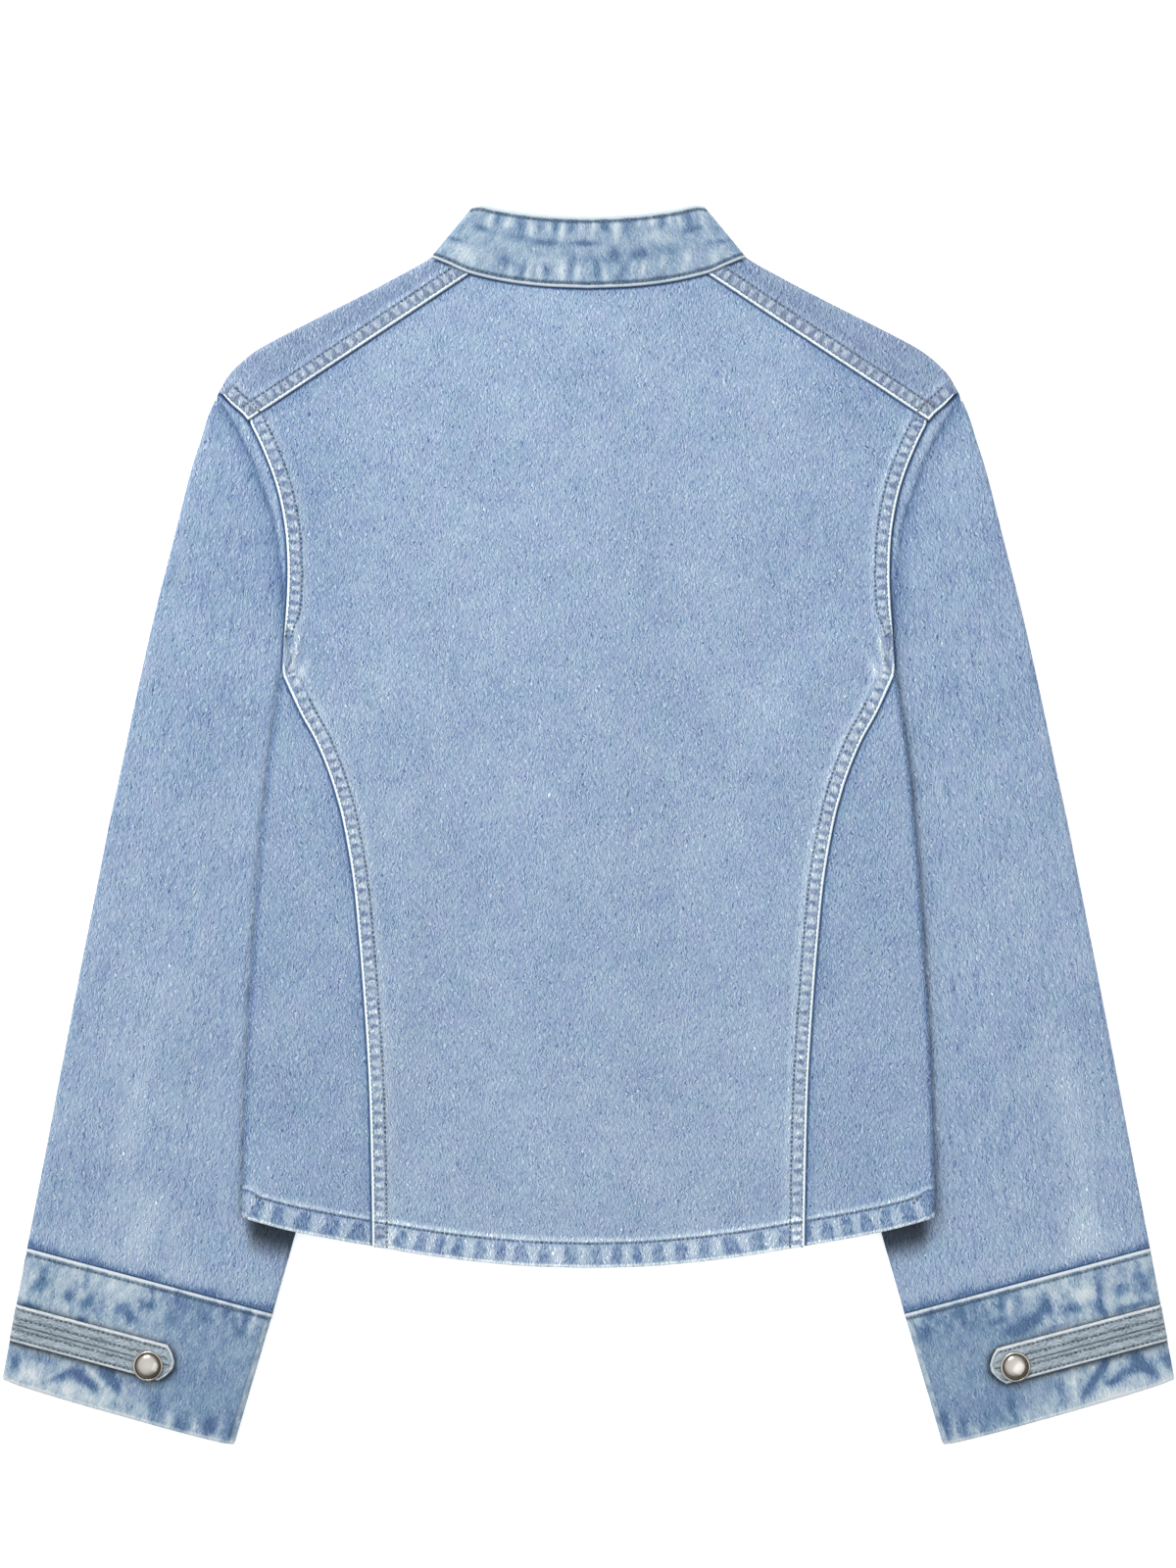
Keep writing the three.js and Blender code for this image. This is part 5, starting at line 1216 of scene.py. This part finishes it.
# %% Ladder of the seams
def ladder_of(tree, seam, near, uneven, lively, ladder):
    """Rungs between the rows of a seam, with their halo and rows; and the band that they stand in."""
    away, run = seam.outputs[0], seam.outputs[1]
    sway = add(tree, MATH, {0: run, 1: 1 / 19}, **TIMES)
    sway = add(tree, MATH, {0: sway}, operation="SINE")
    sway = add(tree, MATH, {0: sway, 1: 2.2}, **TIMES)
    turns = add(tree, MATH, {0: run, 1: 2 * math.pi / PUCKER, 2: sway}, **TIMES_ADD)
    turns = add(tree, MATH, {0: near, 1: 5.0, 2: turns}, **TIMES_ADD)
    turns = add(tree, MATH, {0: turns}, operation="SINE")
    # Rungs are wide at the first row and narrow at the second
    lean = add(tree, MATH, {0: away, 1: 0.2, 2: -0.9}, **TIMES_ADD)
    lean = add(tree, MATH, {0: turns, 1: lean}, **ADD)
    rung = add(tree, RAMP, {0: lean, 1: -0.95, 2: 0.75, 3: -0.27, 4: 0.22}, **SMOOTH)
    strength = add(tree, RAMP, {0: uneven, 1: 0.32, 2: 0.66, 3: 0.5, 4: 1.45}, **SMOOTH)
    band = add(tree, RAMP, {0: away, 1: 1.9, 2: 2.9, 3: 0.0, 4: 1.0}, **SMOOTH)
    band_end = add(tree, RAMP, {0: away, 1: 6.6, 2: 7.8, 3: ladder, 4: 0.0}, **SMOOTH)
    for part in (band_end, lively):
        band = add(tree, MATH, {0: band, 1: part}, **TIMES)
    for part in (strength, band):
        rung = add(tree, MATH, {0: rung, 1: part}, **TIMES)
    halo = add(tree, RAMP, {0: away, 1: 8.6, 2: 9.6, 3: 0.0, 4: 1.0}, **SMOOTH)
    halo_end = add(tree, RAMP, {0: away, 1: 9.8, 2: 15.0, 3: 0.14 * ladder, 4: 0.0}, **SMOOTH)
    for part in (halo_end, lively):
        halo = add(tree, MATH, {0: halo, 1: part}, **TIMES)
    # The holes of both rows are a little darker
    first = add(tree, MATH, {0: away, 1: FIRST_ROW, 2: 0.45}, operation="COMPARE")
    second = add(tree, MATH, {0: away, 1: SECOND_ROW, 2: 0.7}, operation="COMPARE")
    marks = add(tree, MATH, {0: first, 1: -0.06 * ladder, 2: halo}, **TIMES_ADD)
    marks = add(tree, MATH, {0: second, 1: -0.07 * ladder, 2: marks}, **TIMES_ADD)
    return rung, marks, band


print("ladder: one rung each", PUCKER, "mm")

# %% Blocks of the hem
def hem_of(tree, hem_place, near, uneven, ladder):
    """Dark blocks between pale bars, and the pale ridge above them."""
    away, run = hem_place.outputs[0], hem_place.outputs[1]
    sway = add(tree, MATH, {0: run, 1: 1 / 31}, **TIMES)
    sway = add(tree, MATH, {0: sway}, operation="SINE")
    sway = add(tree, MATH, {0: sway, 1: 2.5}, **TIMES)
    turns = add(tree, MATH, {0: run, 1: 2 * math.pi / HEM_PUCKER, 2: sway}, **TIMES_ADD)
    turns = add(tree, MATH, {0: near, 1: 4.0, 2: turns}, **TIMES_ADD)
    turns = add(tree, MATH, {0: turns}, operation="SINE")
    # Pale bars spread towards the stitches
    spread = add(tree, MATH, {0: away, 1: 0.05, 2: -0.35}, **TIMES_ADD)
    spread = add(tree, MATH, {0: turns, 1: spread}, **ADD)
    bar = add(tree, RAMP, {0: spread, 1: -0.5, 2: 0.65, 3: -0.42, 4: 0.0}, **SMOOTH)
    strength = add(tree, RAMP, {0: uneven, 1: 0.32, 2: 0.66, 3: 0.7, 4: 1.25}, **SMOOTH)
    bar = add(tree, MATH, {0: bar, 1: strength, 2: 0.23}, **TIMES_ADD)
    start = add(tree, RAMP, {0: away, 1: 0.8, 2: 4.5, 3: 0.3, 4: 1.0}, **SMOOTH)
    end = add(tree, RAMP, {0: away, 1: 10.5, 2: 13.6, 3: ladder, 4: 0.0}, **SMOOTH)
    for part in (start, end):
        bar = add(tree, MATH, {0: bar, 1: part}, **TIMES)
    ridge = add(tree, RAMP, {0: away, 1: 14.2, 2: 15.4, 3: 0.0, 4: 1.0}, **SMOOTH)
    ridge_end = add(tree, RAMP, {0: away, 1: 15.4, 2: 18.5, 3: 0.3 * ladder, 4: 0.0}, **SMOOTH)
    marks = add(tree, MATH, {0: ridge, 1: ridge_end, 2: bar}, **TIMES_ADD)
    row = add(tree, MATH, {0: away, 1: HEM_ROW, 2: 0.8}, operation="COMPARE")
    return add(tree, MATH, {0: row, 1: -0.22 * ladder, 2: marks}, **TIMES_ADD)


print("hem: one block each", HEM_PUCKER, "mm")

# %% [markdown]
# ## One number for the wash
# `shade` gathers everything: clouds of uneven wash, worn places and painted shade and highlight stored on the
# vertices, ladders, the white of folded edges, the blue beside edges that lie on a panel, partly dye kept
# there and partly painted shade, and the grain with its painted light and shade. A colour ramp turns it from
# deep blue into bare cotton. The same grain also moves the surface a little, through a bump.

# %% Denim
def denim(name, dyes, weave=0.53, drawn=0.0, slub=(0.8, 2.6), blotch=0.0, ladder=0.0, edge=0.9):
    """Washed denim. slub is the width and length in millimetres of its short streaks."""
    material = bpy.data.materials.new(name)
    material.use_nodes = True
    tree = material.node_tree
    tree.nodes.clear()
    cloth, seam, hem_place = (add(tree, "ShaderNodeAttribute", output=1, attribute_name=label)
                              for label in ("cloth", "seam", "hem"))
    tuck, wear_and_shade, wear, painted_shade, calm, dull = (add(tree, "ShaderNodeAttribute", output=2, attribute_name=label)
                                          for label in ("tuck", "wear_and_shade", "wear", "painted_shade", "calm", "dull"))
    seam = add(tree, "ShaderNodeSeparateXYZ", {0: seam}).node
    hem_place = add(tree, "ShaderNodeSeparateXYZ", {0: hem_place}).node
    lively = add(tree, MATH, {0: 1.0, 1: calm}, operation="SUBTRACT")
    grain, bent = grain_of(tree, cloth, slub, weave, drawn)

    # Clouds of uneven wash, about 10 mm and 40 mm across
    near = add(tree, NOISE, {"Vector": cloth, "Scale": 0.1, "Detail": 2.0, "Roughness": 0.6})
    far = add(tree, NOISE, {"Vector": cloth, "Scale": 0.022, "Detail": 1.0})
    shade = add(tree, MATH, {0: near, 1: far}, **ADD)
    shade = add(tree, MATH, {0: shade, 1: 0.2, 2: 0.3}, **TIMES_ADD)
    # Blotches of the hard-worn pieces, drawn out along the warp
    spots = add(tree, "ShaderNodeMapping", {0: bent, 3: (1 / 4.5, 1 / 8.0, 1)})
    spots = add(tree, NOISE, {"Vector": spots, "Scale": 0.9, "Detail": 3.0, "Roughness": 0.6})
    spots = add(tree, RAMP, {0: spots, 1: 0.34, 2: 0.66, 3: -blotch, 4: blotch}, **SMOOTH)
    shade = add(tree, MATH, {0: spots, 1: wear, 2: shade}, **TIMES_ADD)
    uneven = add(tree, NOISE, {"Vector": cloth, "Scale": 0.22, "Detail": 1.0})
    rung, marks, band = ladder_of(tree, seam, near, uneven, lively, ladder)
    hem_marks = hem_of(tree, hem_place, near, uneven, ladder)
    # Folded edges wear white; beside an edge that lies on this panel the cloth is darker, partly dye kept
    # from the wash and partly painted shade, with a wider painted shadow round it
    worn = add(tree, RAMP, {0: seam.outputs[0], 1: 1.1, 2: 1.8, 3: edge, 4: 0.0}, **SMOOTH)
    worn = add(tree, MATH, {0: worn, 1: lively}, **TIMES)
    worn_hem = add(tree, RAMP, {0: hem_place.outputs[0], 1: 1.0, 2: 2.6, 3: edge * 0.6, 4: 0.0}, **SMOOTH)
    hollow_dye_and_shade = add(tree, RAMP, {0: tuck, 1: 0.3, 2: 2.0, 3: -0.45, 4: 0.0}, **SMOOTH)
    shadow = add(tree, RAMP, {0: tuck, 1: 0.5, 2: 8.0, 3: -0.1, 4: 0.0}, **SMOOTH)
    for part in (wear_and_shade, rung, marks, hem_marks, worn, worn_hem, hollow_dye_and_shade, shadow):
        shade = add(tree, MATH, {0: shade, 1: part}, **ADD)
    # The grain comes last, so that it also shows in the darkest places
    shade = add(tree, MATH, {0: shade, 1: 0.1}, operation="MAXIMUM")
    shade = add(tree, MATH, {0: shade, 1: grain}, **ADD)

    ramp = tree.nodes.new("ShaderNodeValToRGB")
    while len(ramp.color_ramp.elements) < len(DYE_STOPS):
        ramp.color_ramp.elements.new(0.5)
    for element, place, dye in zip(ramp.color_ramp.elements, DYE_STOPS, dyes):
        element.position, element.color = place, srgb(dye)
    tree.links.new(shade, ramp.inputs[0])
    # The wash leaves some clouds greener and some more violet
    hue = add(tree, NOISE, {"Vector": cloth, "Scale": 0.06, "Detail": 2.0, "Roughness": 0.6})
    hue = add(tree, RAMP, {0: hue, 1: 0.3, 2: 0.7, 3: 0.487, 4: 0.509})
    greyed = add(tree, MATH, {0: band, 1: -0.17, 2: 1.0}, **TIMES_ADD)
    greyed = add(tree, MATH, {0: greyed, 1: dull}, operation="SUBTRACT")
    colour = add(tree, "ShaderNodeHueSaturation", {"Hue": hue, "Saturation": greyed,
                                                   "Color": ramp.outputs[0]})
    # The deepest hollows, where hardly any light or bleach came
    # Beside an edge that lies on this panel the colour goes dark navy, partly dye kept from the wash and
    # partly painted shade; painted shade under lifted edges and in the deepest hollows mixes it towards near
    # black
    edge_dye_and_shade = add(tree, RAMP, {0: tuck, 1: 0.2, 2: 1.7, 3: 0.75, 4: 0.0}, **SMOOTH)
    for share, dark in ((edge_dye_and_shade, "#213f66"), (painted_shade, "#161d26")):
        colour = add(tree, "ShaderNodeMix", {0: share, 6: colour, 7: srgb(dark)}, output=2, data_type="RGBA")

    height = add(tree, MATH, {0: grain, 1: rung}, **ADD)
    bump = add(tree, "ShaderNodeBump", {"Height": height, "Strength": 1.0, "Distance": 0.00028})
    surface = add(tree, "ShaderNodeBsdfPrincipled", {"Base Color": colour, "Roughness": 0.9, "Normal": bump,
                                                     "Specular IOR Level": 0.2, "Sheen Weight": 0.1,
                                                     "Sheen Roughness": 0.5})
    add(tree, "ShaderNodeOutputMaterial", {0: surface})
    return material


print("denim is matt, with a faint sheen of cotton fluff")

# %% Dyes
DYE_STOPS = (0.0, 0.3, 0.5, 0.7, 0.93, 1.0)
LIGHT_DYES = ("#4a638a", "#738bae", "#93a5be", "#a9b9ca", "#bac9d7", "#eef8fc")
WORN_DYES = ("#445c80", "#6a83a2", "#8da1b5", "#a9b8c4", "#bfcad1", "#cfd5d9")
COLLAR_DYES = ("#496080", "#6f86a1", "#899cb1", "#a5b4c0", "#bcc7ce", "#c3ccd2")
PALE_DYES = ("#4b555f", "#7b8894", "#9eaab3", "#b5bec4", "#cdd1d3", "#d8dadb")
# Body: indigo cotton denim of about 11 ounces, stone-washed to a light even blue
body_denim = denim("washed indigo denim", LIGHT_DYES, ladder=1.0)
# Sleeves: the same cloth, with painted shade and painted highlight of soft lengthwise creases
sleeve_denim = denim("washed indigo denim of the sleeves", LIGHT_DYES, weave=0.5, drawn=0.12,
                     slub=(0.8, 3.4))
# Collar: two layers, so rubbed harder in the wash
collar_denim = denim("rubbed indigo denim", COLLAR_DYES, weave=0.3, blotch=0.1, edge=0.6)
# Cuffs: two layers, blotched where they creased
cuff_denim = denim("blotched indigo denim", WORN_DYES, weave=0.26, slub=(0.9, 2.6), blotch=0.16, edge=0.6)
# Tabs: four layers, rubbed nearly to the grey of the weft
tab_denim = denim("pale rubbed denim", PALE_DYES, weave=0.3, slub=(0.9, 2.6), blotch=0.08, edge=0.45)
print("denims:", [item.name for item in (body_denim, sleeve_denim, collar_denim, cuff_denim, tab_denim)])

# %% [markdown]
# ## Thread and metal
# The seams are sewn with grey cotton core thread, matt and slightly hairy; the rows beside folded edges are
# bleached paler. The buttons are nickel-plated brass with a satin face, so they mirror the soft light in a
# broad gradient, deepened by painted shade towards the edge of the dome and on the side away from the light.
# A polished ball would mirror the whole table instead.

# %% Thread
def thread(name, dark, light):
    """Matt cotton thread, mottled along its ply."""
    material = bpy.data.materials.new(name)
    material.use_nodes = True
    tree = material.node_tree
    tree.nodes.clear()
    place = add(tree, "ShaderNodeTexCoord", output=3)
    ply = add(tree, NOISE, {"Vector": place, "Scale": 500.0, "Detail": 2.0})
    ply = add(tree, RAMP, {0: ply, 1: 0.35, 2: 0.65})
    tone = add(tree, "ShaderNodeMix", {0: ply, 6: srgb(dark), 7: srgb(light)}, output=2, data_type="RGBA")
    surface = add(tree, "ShaderNodeBsdfPrincipled", {"Base Color": tone, "Roughness": 0.8,
                                                     "Specular IOR Level": 0.3})
    add(tree, "ShaderNodeOutputMaterial", {0: surface})
    return material


grey_thread = thread("grey cotton thread", "#434c50", "#7c868a")
pale_thread = thread("bleached cotton thread", "#59646b", "#8d979b")
print("threads:", grey_thread.name, "and", pale_thread.name)

# %% Nickel plate of the buttons
# The dome is polished and painted darker towards its edge, a painted reflection; the groove round it holds
# dirt; the rim is bright from wear and a painted highlight
METAL_TONES_AND_SHADE = ((0.0, "#cdc9c2"), (0.55, "#bfbab2"), (0.78, "#a29b91"), (0.85, "#4d453b"), (0.9, "#bcb6ab"),
               (1.0, "#cfcac1"))
BUTTON_RADIUS = 8.6
metal = bpy.data.materials.new("satin nickel plate")
metal.use_nodes = True
tree = metal.node_tree
tree.nodes.clear()
place = add(tree, "ShaderNodeTexCoord", output=3)
scuff = add(tree, NOISE, {"Vector": place, "Scale": 900.0, "Detail": 3.0})
rough = add(tree, RAMP, {0: scuff, 1: 0.3, 2: 0.7, 3: 0.2, 4: 0.28})
button_place = add(tree, "ShaderNodeAttribute", output=1, attribute_name="place")
button_place = add(tree, "ShaderNodeSeparateXYZ", {0: button_place}).node
tone = tree.nodes.new("ShaderNodeValToRGB")
while len(tone.color_ramp.elements) < len(METAL_TONES_AND_SHADE):
    tone.color_ramp.elements.new(0.5)
for element, (place_on, colour) in zip(tone.color_ramp.elements, METAL_TONES_AND_SHADE):
    element.position, element.color = place_on, srgb(colour)
reach = add(tree, MATH, {0: button_place.outputs[0], 1: 1 / BUTTON_RADIUS}, **TIMES)
tree.links.new(reach, tone.inputs[0])
# Painted shade: the side away from the light is darker, unevenly
far_side_shade = add(tree, RAMP, {0: button_place.outputs[1], 1: 2.0, 2: BUTTON_RADIUS, 3: 0.0, 4: 0.55})
mottle = add(tree, RAMP, {0: scuff, 1: 0.3, 2: 0.6, 3: 0.8, 4: 1.1})
far_side_shade = add(tree, MATH, {0: far_side_shade, 1: mottle}, **TIMES)
tone = add(tree, "ShaderNodeMix", {0: far_side_shade, 6: tone.outputs[0], 7: srgb("#463e34")}, output=2,
           data_type="RGBA")
surface = add(tree, "ShaderNodeBsdfPrincipled", {"Base Color": tone, "Metallic": 1.0, "Roughness": rough})
add(tree, "ShaderNodeOutputMaterial", {0: surface})
print("buttons:", metal.name, "with", len(METAL_TONES_AND_SHADE), "tones")

# %% [markdown]
# ## Thread loops
# Thousands of equal stitches are work for Geometry Nodes: the rows become curves, points are spread along
# them at the pitch of the machine, and a small rounded loop is set on each, turned along the row and varied a
# little by a fixed seed. Realized instances are real mesh, which can be exported.

# %% Stitches with Geometry Nodes
STITCH_LONG, STITCH_WIDE, STITCH_HIGH, STITCH_PITCH = 2.0, 1.5, 1.1, 2.7


def stitch_mesh(lines):
    """One mesh of edges, a chain for each row of stitches."""
    points, edges = [], []
    for line in lines:
        edges += [(len(points) + k, len(points) + k + 1) for k in range(len(line) - 1)]
        points += [tuple(point) for point in line]
    mesh = bpy.data.meshes.new("stitches")
    mesh.from_pydata(points, edges, [])
    return mesh


def stitch_tree():
    """Curve from edges, points at a pitch, a thread loop on each, then real mesh."""
    tree = bpy.data.node_groups.new("rows of stitches", "GeometryNodeTree")
    tree.interface.new_socket("Geometry", in_out="INPUT", socket_type="NodeSocketGeometry")
    for label in ("Pitch", "Length", "Width", "Height"):
        tree.interface.new_socket(label, in_out="INPUT", socket_type="NodeSocketFloat")
    tree.interface.new_socket("Seed", in_out="INPUT", socket_type="NodeSocketInt")
    tree.interface.new_socket("Thread", in_out="INPUT", socket_type="NodeSocketMaterial")
    tree.interface.new_socket("Geometry", in_out="OUTPUT", socket_type="NodeSocketGeometry")
    given = add(tree, "NodeGroupInput").node
    geometry, pitch, long, wide, high, seed, thread_socket = given.outputs[:7]
    curve = add(tree, "GeometryNodeMeshToCurve", {"Mesh": geometry})
    spaced = add(tree, "GeometryNodeResampleCurve", {"Curve": curve, "Length": pitch}, mode="LENGTH")
    tangent = add(tree, "GeometryNodeInputTangent")
    turn = add(tree, "FunctionNodeAlignRotationToVector", {"Vector": tangent}, axis="X")
    jitter = add(tree, "FunctionNodeRandomValue", {0: (-0.02, -0.02, -0.4), 1: (0.02, 0.02, 0.4),
                                                   "Seed": seed}, data_type="FLOAT_VECTOR")
    wobble = add(tree, "FunctionNodeEulerToRotation", {0: jitter})
    turn = add(tree, "FunctionNodeRotateRotation", {0: turn, 1: wobble}, rotation_space="LOCAL")
    size = add(tree, "ShaderNodeCombineXYZ", {0: long, 1: wide, 2: high})
    spread = add(tree, "FunctionNodeRandomValue", {2: 0.8, 3: 1.15, "Seed": seed}, output=1,
                 data_type="FLOAT")
    size = add(tree, VECTOR, {0: size, "Scale": spread}, operation="SCALE")
    loop = add(tree, "GeometryNodeMeshIcoSphere", {"Radius": 0.5, "Subdivisions": 1})
    loop = add(tree, "GeometryNodeSetShadeSmooth", {0: loop})
    placed = add(tree, "GeometryNodeInstanceOnPoints", {"Points": spaced, "Instance": loop, "Rotation": turn,
                                                        "Scale": size})
    real = add(tree, "GeometryNodeRealizeInstances", {0: placed})
    dressed = add(tree, "GeometryNodeSetMaterial", {"Geometry": real, "Material": thread_socket})
    add(tree, "NodeGroupOutput", {0: dressed})
    return tree


def sewn(name, lines, material, seed, scale=1.0):
    """Stitches along lines, as one plain mesh."""
    rows = bpy.data.objects.new(name + "_rows", stitch_mesh(lines))
    bpy.context.scene.collection.objects.link(rows)
    modifier = rows.modifiers.new("stitches", "NODES")
    modifier.node_group = stitch_tree()
    values = {"Pitch": STITCH_PITCH * MM, "Length": STITCH_LONG * MM, "Width": STITCH_WIDE * scale * MM,
              "Height": STITCH_HIGH * scale * MM, "Seed": seed, "Thread": material}
    for item in modifier.node_group.interface.items_tree:
        if item.item_type == "SOCKET" and item.in_out == "INPUT" and item.name in values:
            modifier[item.identifier] = values[item.name]
    graph = bpy.context.evaluated_depsgraph_get()
    made = bpy.data.objects.new(name, bpy.data.meshes.new_from_object(rows.evaluated_get(graph)))
    bpy.context.scene.collection.objects.link(made)
    bpy.data.objects.remove(rows)
    return made


stitches = sewn("stitches", stitch_lines, grey_thread, 5)
edge_stitches = sewn("edge_stitches", edge_lines, pale_thread, 9, 0.7)
print("stitches:", len(stitches.data.polygons) + len(edge_stitches.data.polygons), "faces")

# %% [markdown]
# ## Finish and frame
# Each piece now gets its denim, rides on the jacket's one body, and stands in for its plain solid.

# %% Finish of each piece
# The plain solid that it replaces, its slot, its denim, and the pieces that it rests on
FRONTS = ["front_cloth_left", "front_cloth_right"]
finishes = {"back": ("back_centre", "light_denim", body_denim, FRONTS),
            "stand_collar": ("collar", "washed_denim", collar_denim, ["back"])}
for word in ("_left", "_right"):
    finishes["side_panel" + word] = ("back_side" + word, "light_denim", body_denim, ["front_cloth" + word])
    finishes["front_cloth" + word] = ("front" + word, "light_denim", body_denim, ["sleeve_cloth" + word])
    finishes["sleeve_cloth" + word] = ("sleeve" + word, "light_denim", sleeve_denim, [])
    finishes["cuff_band" + word] = ("cuff" + word, "washed_denim", cuff_denim, ["sleeve_cloth" + word])
    finishes["tab_strip" + word] = ("cuff_tab" + word, "pale_denim", tab_denim, ["cuff_band" + word])
print("finishes:", len(finishes))

# %% Materials and bodies
def finish_piece(made, node, material):
    """Material, body and CAD node of a piece."""
    if material:
        made.data.materials.clear()
        made.data.materials.append(material)
    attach(made, "root")
    if node:
        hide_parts(node)


by_name = {made.name: made for made in panels}
# What is sewn or fastened to a piece moves with it
finish_piece(stitches, None, None)
finish_piece(edge_stitches, None, None)
for made, word in zip(buttons, ("left", "right")):
    finish_piece(made, "cuff_button_" + word, metal)
for k, made in enumerate(front_buttons):
    finish_piece(made, f"front_button_{k + 1}", metal)
for name, (node, slot, material, rests_on) in finishes.items():
    finish_piece(by_name[name], node, material)
    half = area_of(by_name[name]) / 2

# %% [markdown]
# ## Light and floor
# The photo was taken on a white table in soft daylight. A bright even sky fills every fold, one large lamp
# past the collar gives the folded edges their thin shadows, and a weak one lightens the far side.

# %% Light and floor
world = bpy.data.worlds.new("soft sky")
bpy.context.scene.world = world
world.use_nodes = True
tree = world.node_tree
tree.nodes.clear()
# The sky is brightest overhead and dims to the sides, as under a soft box
ways = add(tree, "ShaderNodeTexCoord", output=0)
turned = add(tree, VECTOR, {0: ways, 1: (-0.22, 0.3, 0.93)}, output=1, operation="DOT_PRODUCT")
level = add(tree, RAMP, {0: turned, 1: 0.15, 2: 0.95, 3: 0.18, 4: 1.16}, **SMOOTH)
sky = add(tree, "ShaderNodeBackground", {0: srgb("#f6f8fa"), 1: level})
add(tree, "ShaderNodeOutputWorld", {0: sky})


def lamp(name, power, size, place, target=(0, 0, 0)):
    """A square soft lamp that points at a target."""
    data = bpy.data.lights.new(name, "AREA")
    data.energy, data.size = power, size
    made = bpy.data.objects.new(name, data)
    made.location = place
    made.rotation_euler = (Vector(target) - Vector(place)).to_track_quat("-Z", "Y").to_euler()
    bpy.context.scene.collection.objects.link(made)
    return made


lamp("key", 19, 0.7, (-0.55, 1.25, 1.1))
lamp("fill", 5, 1.4, (0.9, -0.6, 1.5))
floor_mesh = bpy.data.meshes.new("floor")
corners = [(-6, -6, -0.0004), (6, -6, -0.0004), (6, 6, -0.0004), (-6, 6, -0.0004)]
floor_mesh.from_pydata(corners, [], [(0, 1, 2, 3)])
floor = bpy.data.objects.new("floor", floor_mesh)
bpy.context.scene.collection.objects.link(floor)
paper = bpy.data.materials.new("white paper")
paper.use_nodes = True
tree = paper.node_tree
tree.nodes.clear()
# A little light of its own keeps the paper white, as on a light table
surface = add(tree, "ShaderNodeBsdfPrincipled", {"Base Color": srgb("#fafafa"), "Roughness": 0.9,
                                                 "Specular IOR Level": 0.1, "Emission Color": srgb("#ffffff"),
                                                 "Emission Strength": 0.4})
add(tree, "ShaderNodeOutputMaterial", {0: surface})
floor_mesh.materials.append(paper)
floor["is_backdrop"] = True
bpy.context.scene.view_settings.view_transform = "Standard"

# %% Size and finish
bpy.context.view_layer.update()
meshes = [made.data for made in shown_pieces() if made.type == "MESH"]
print("triangles", sum(len(face.vertices) - 2 for mesh in meshes for face in mesh.polygons))
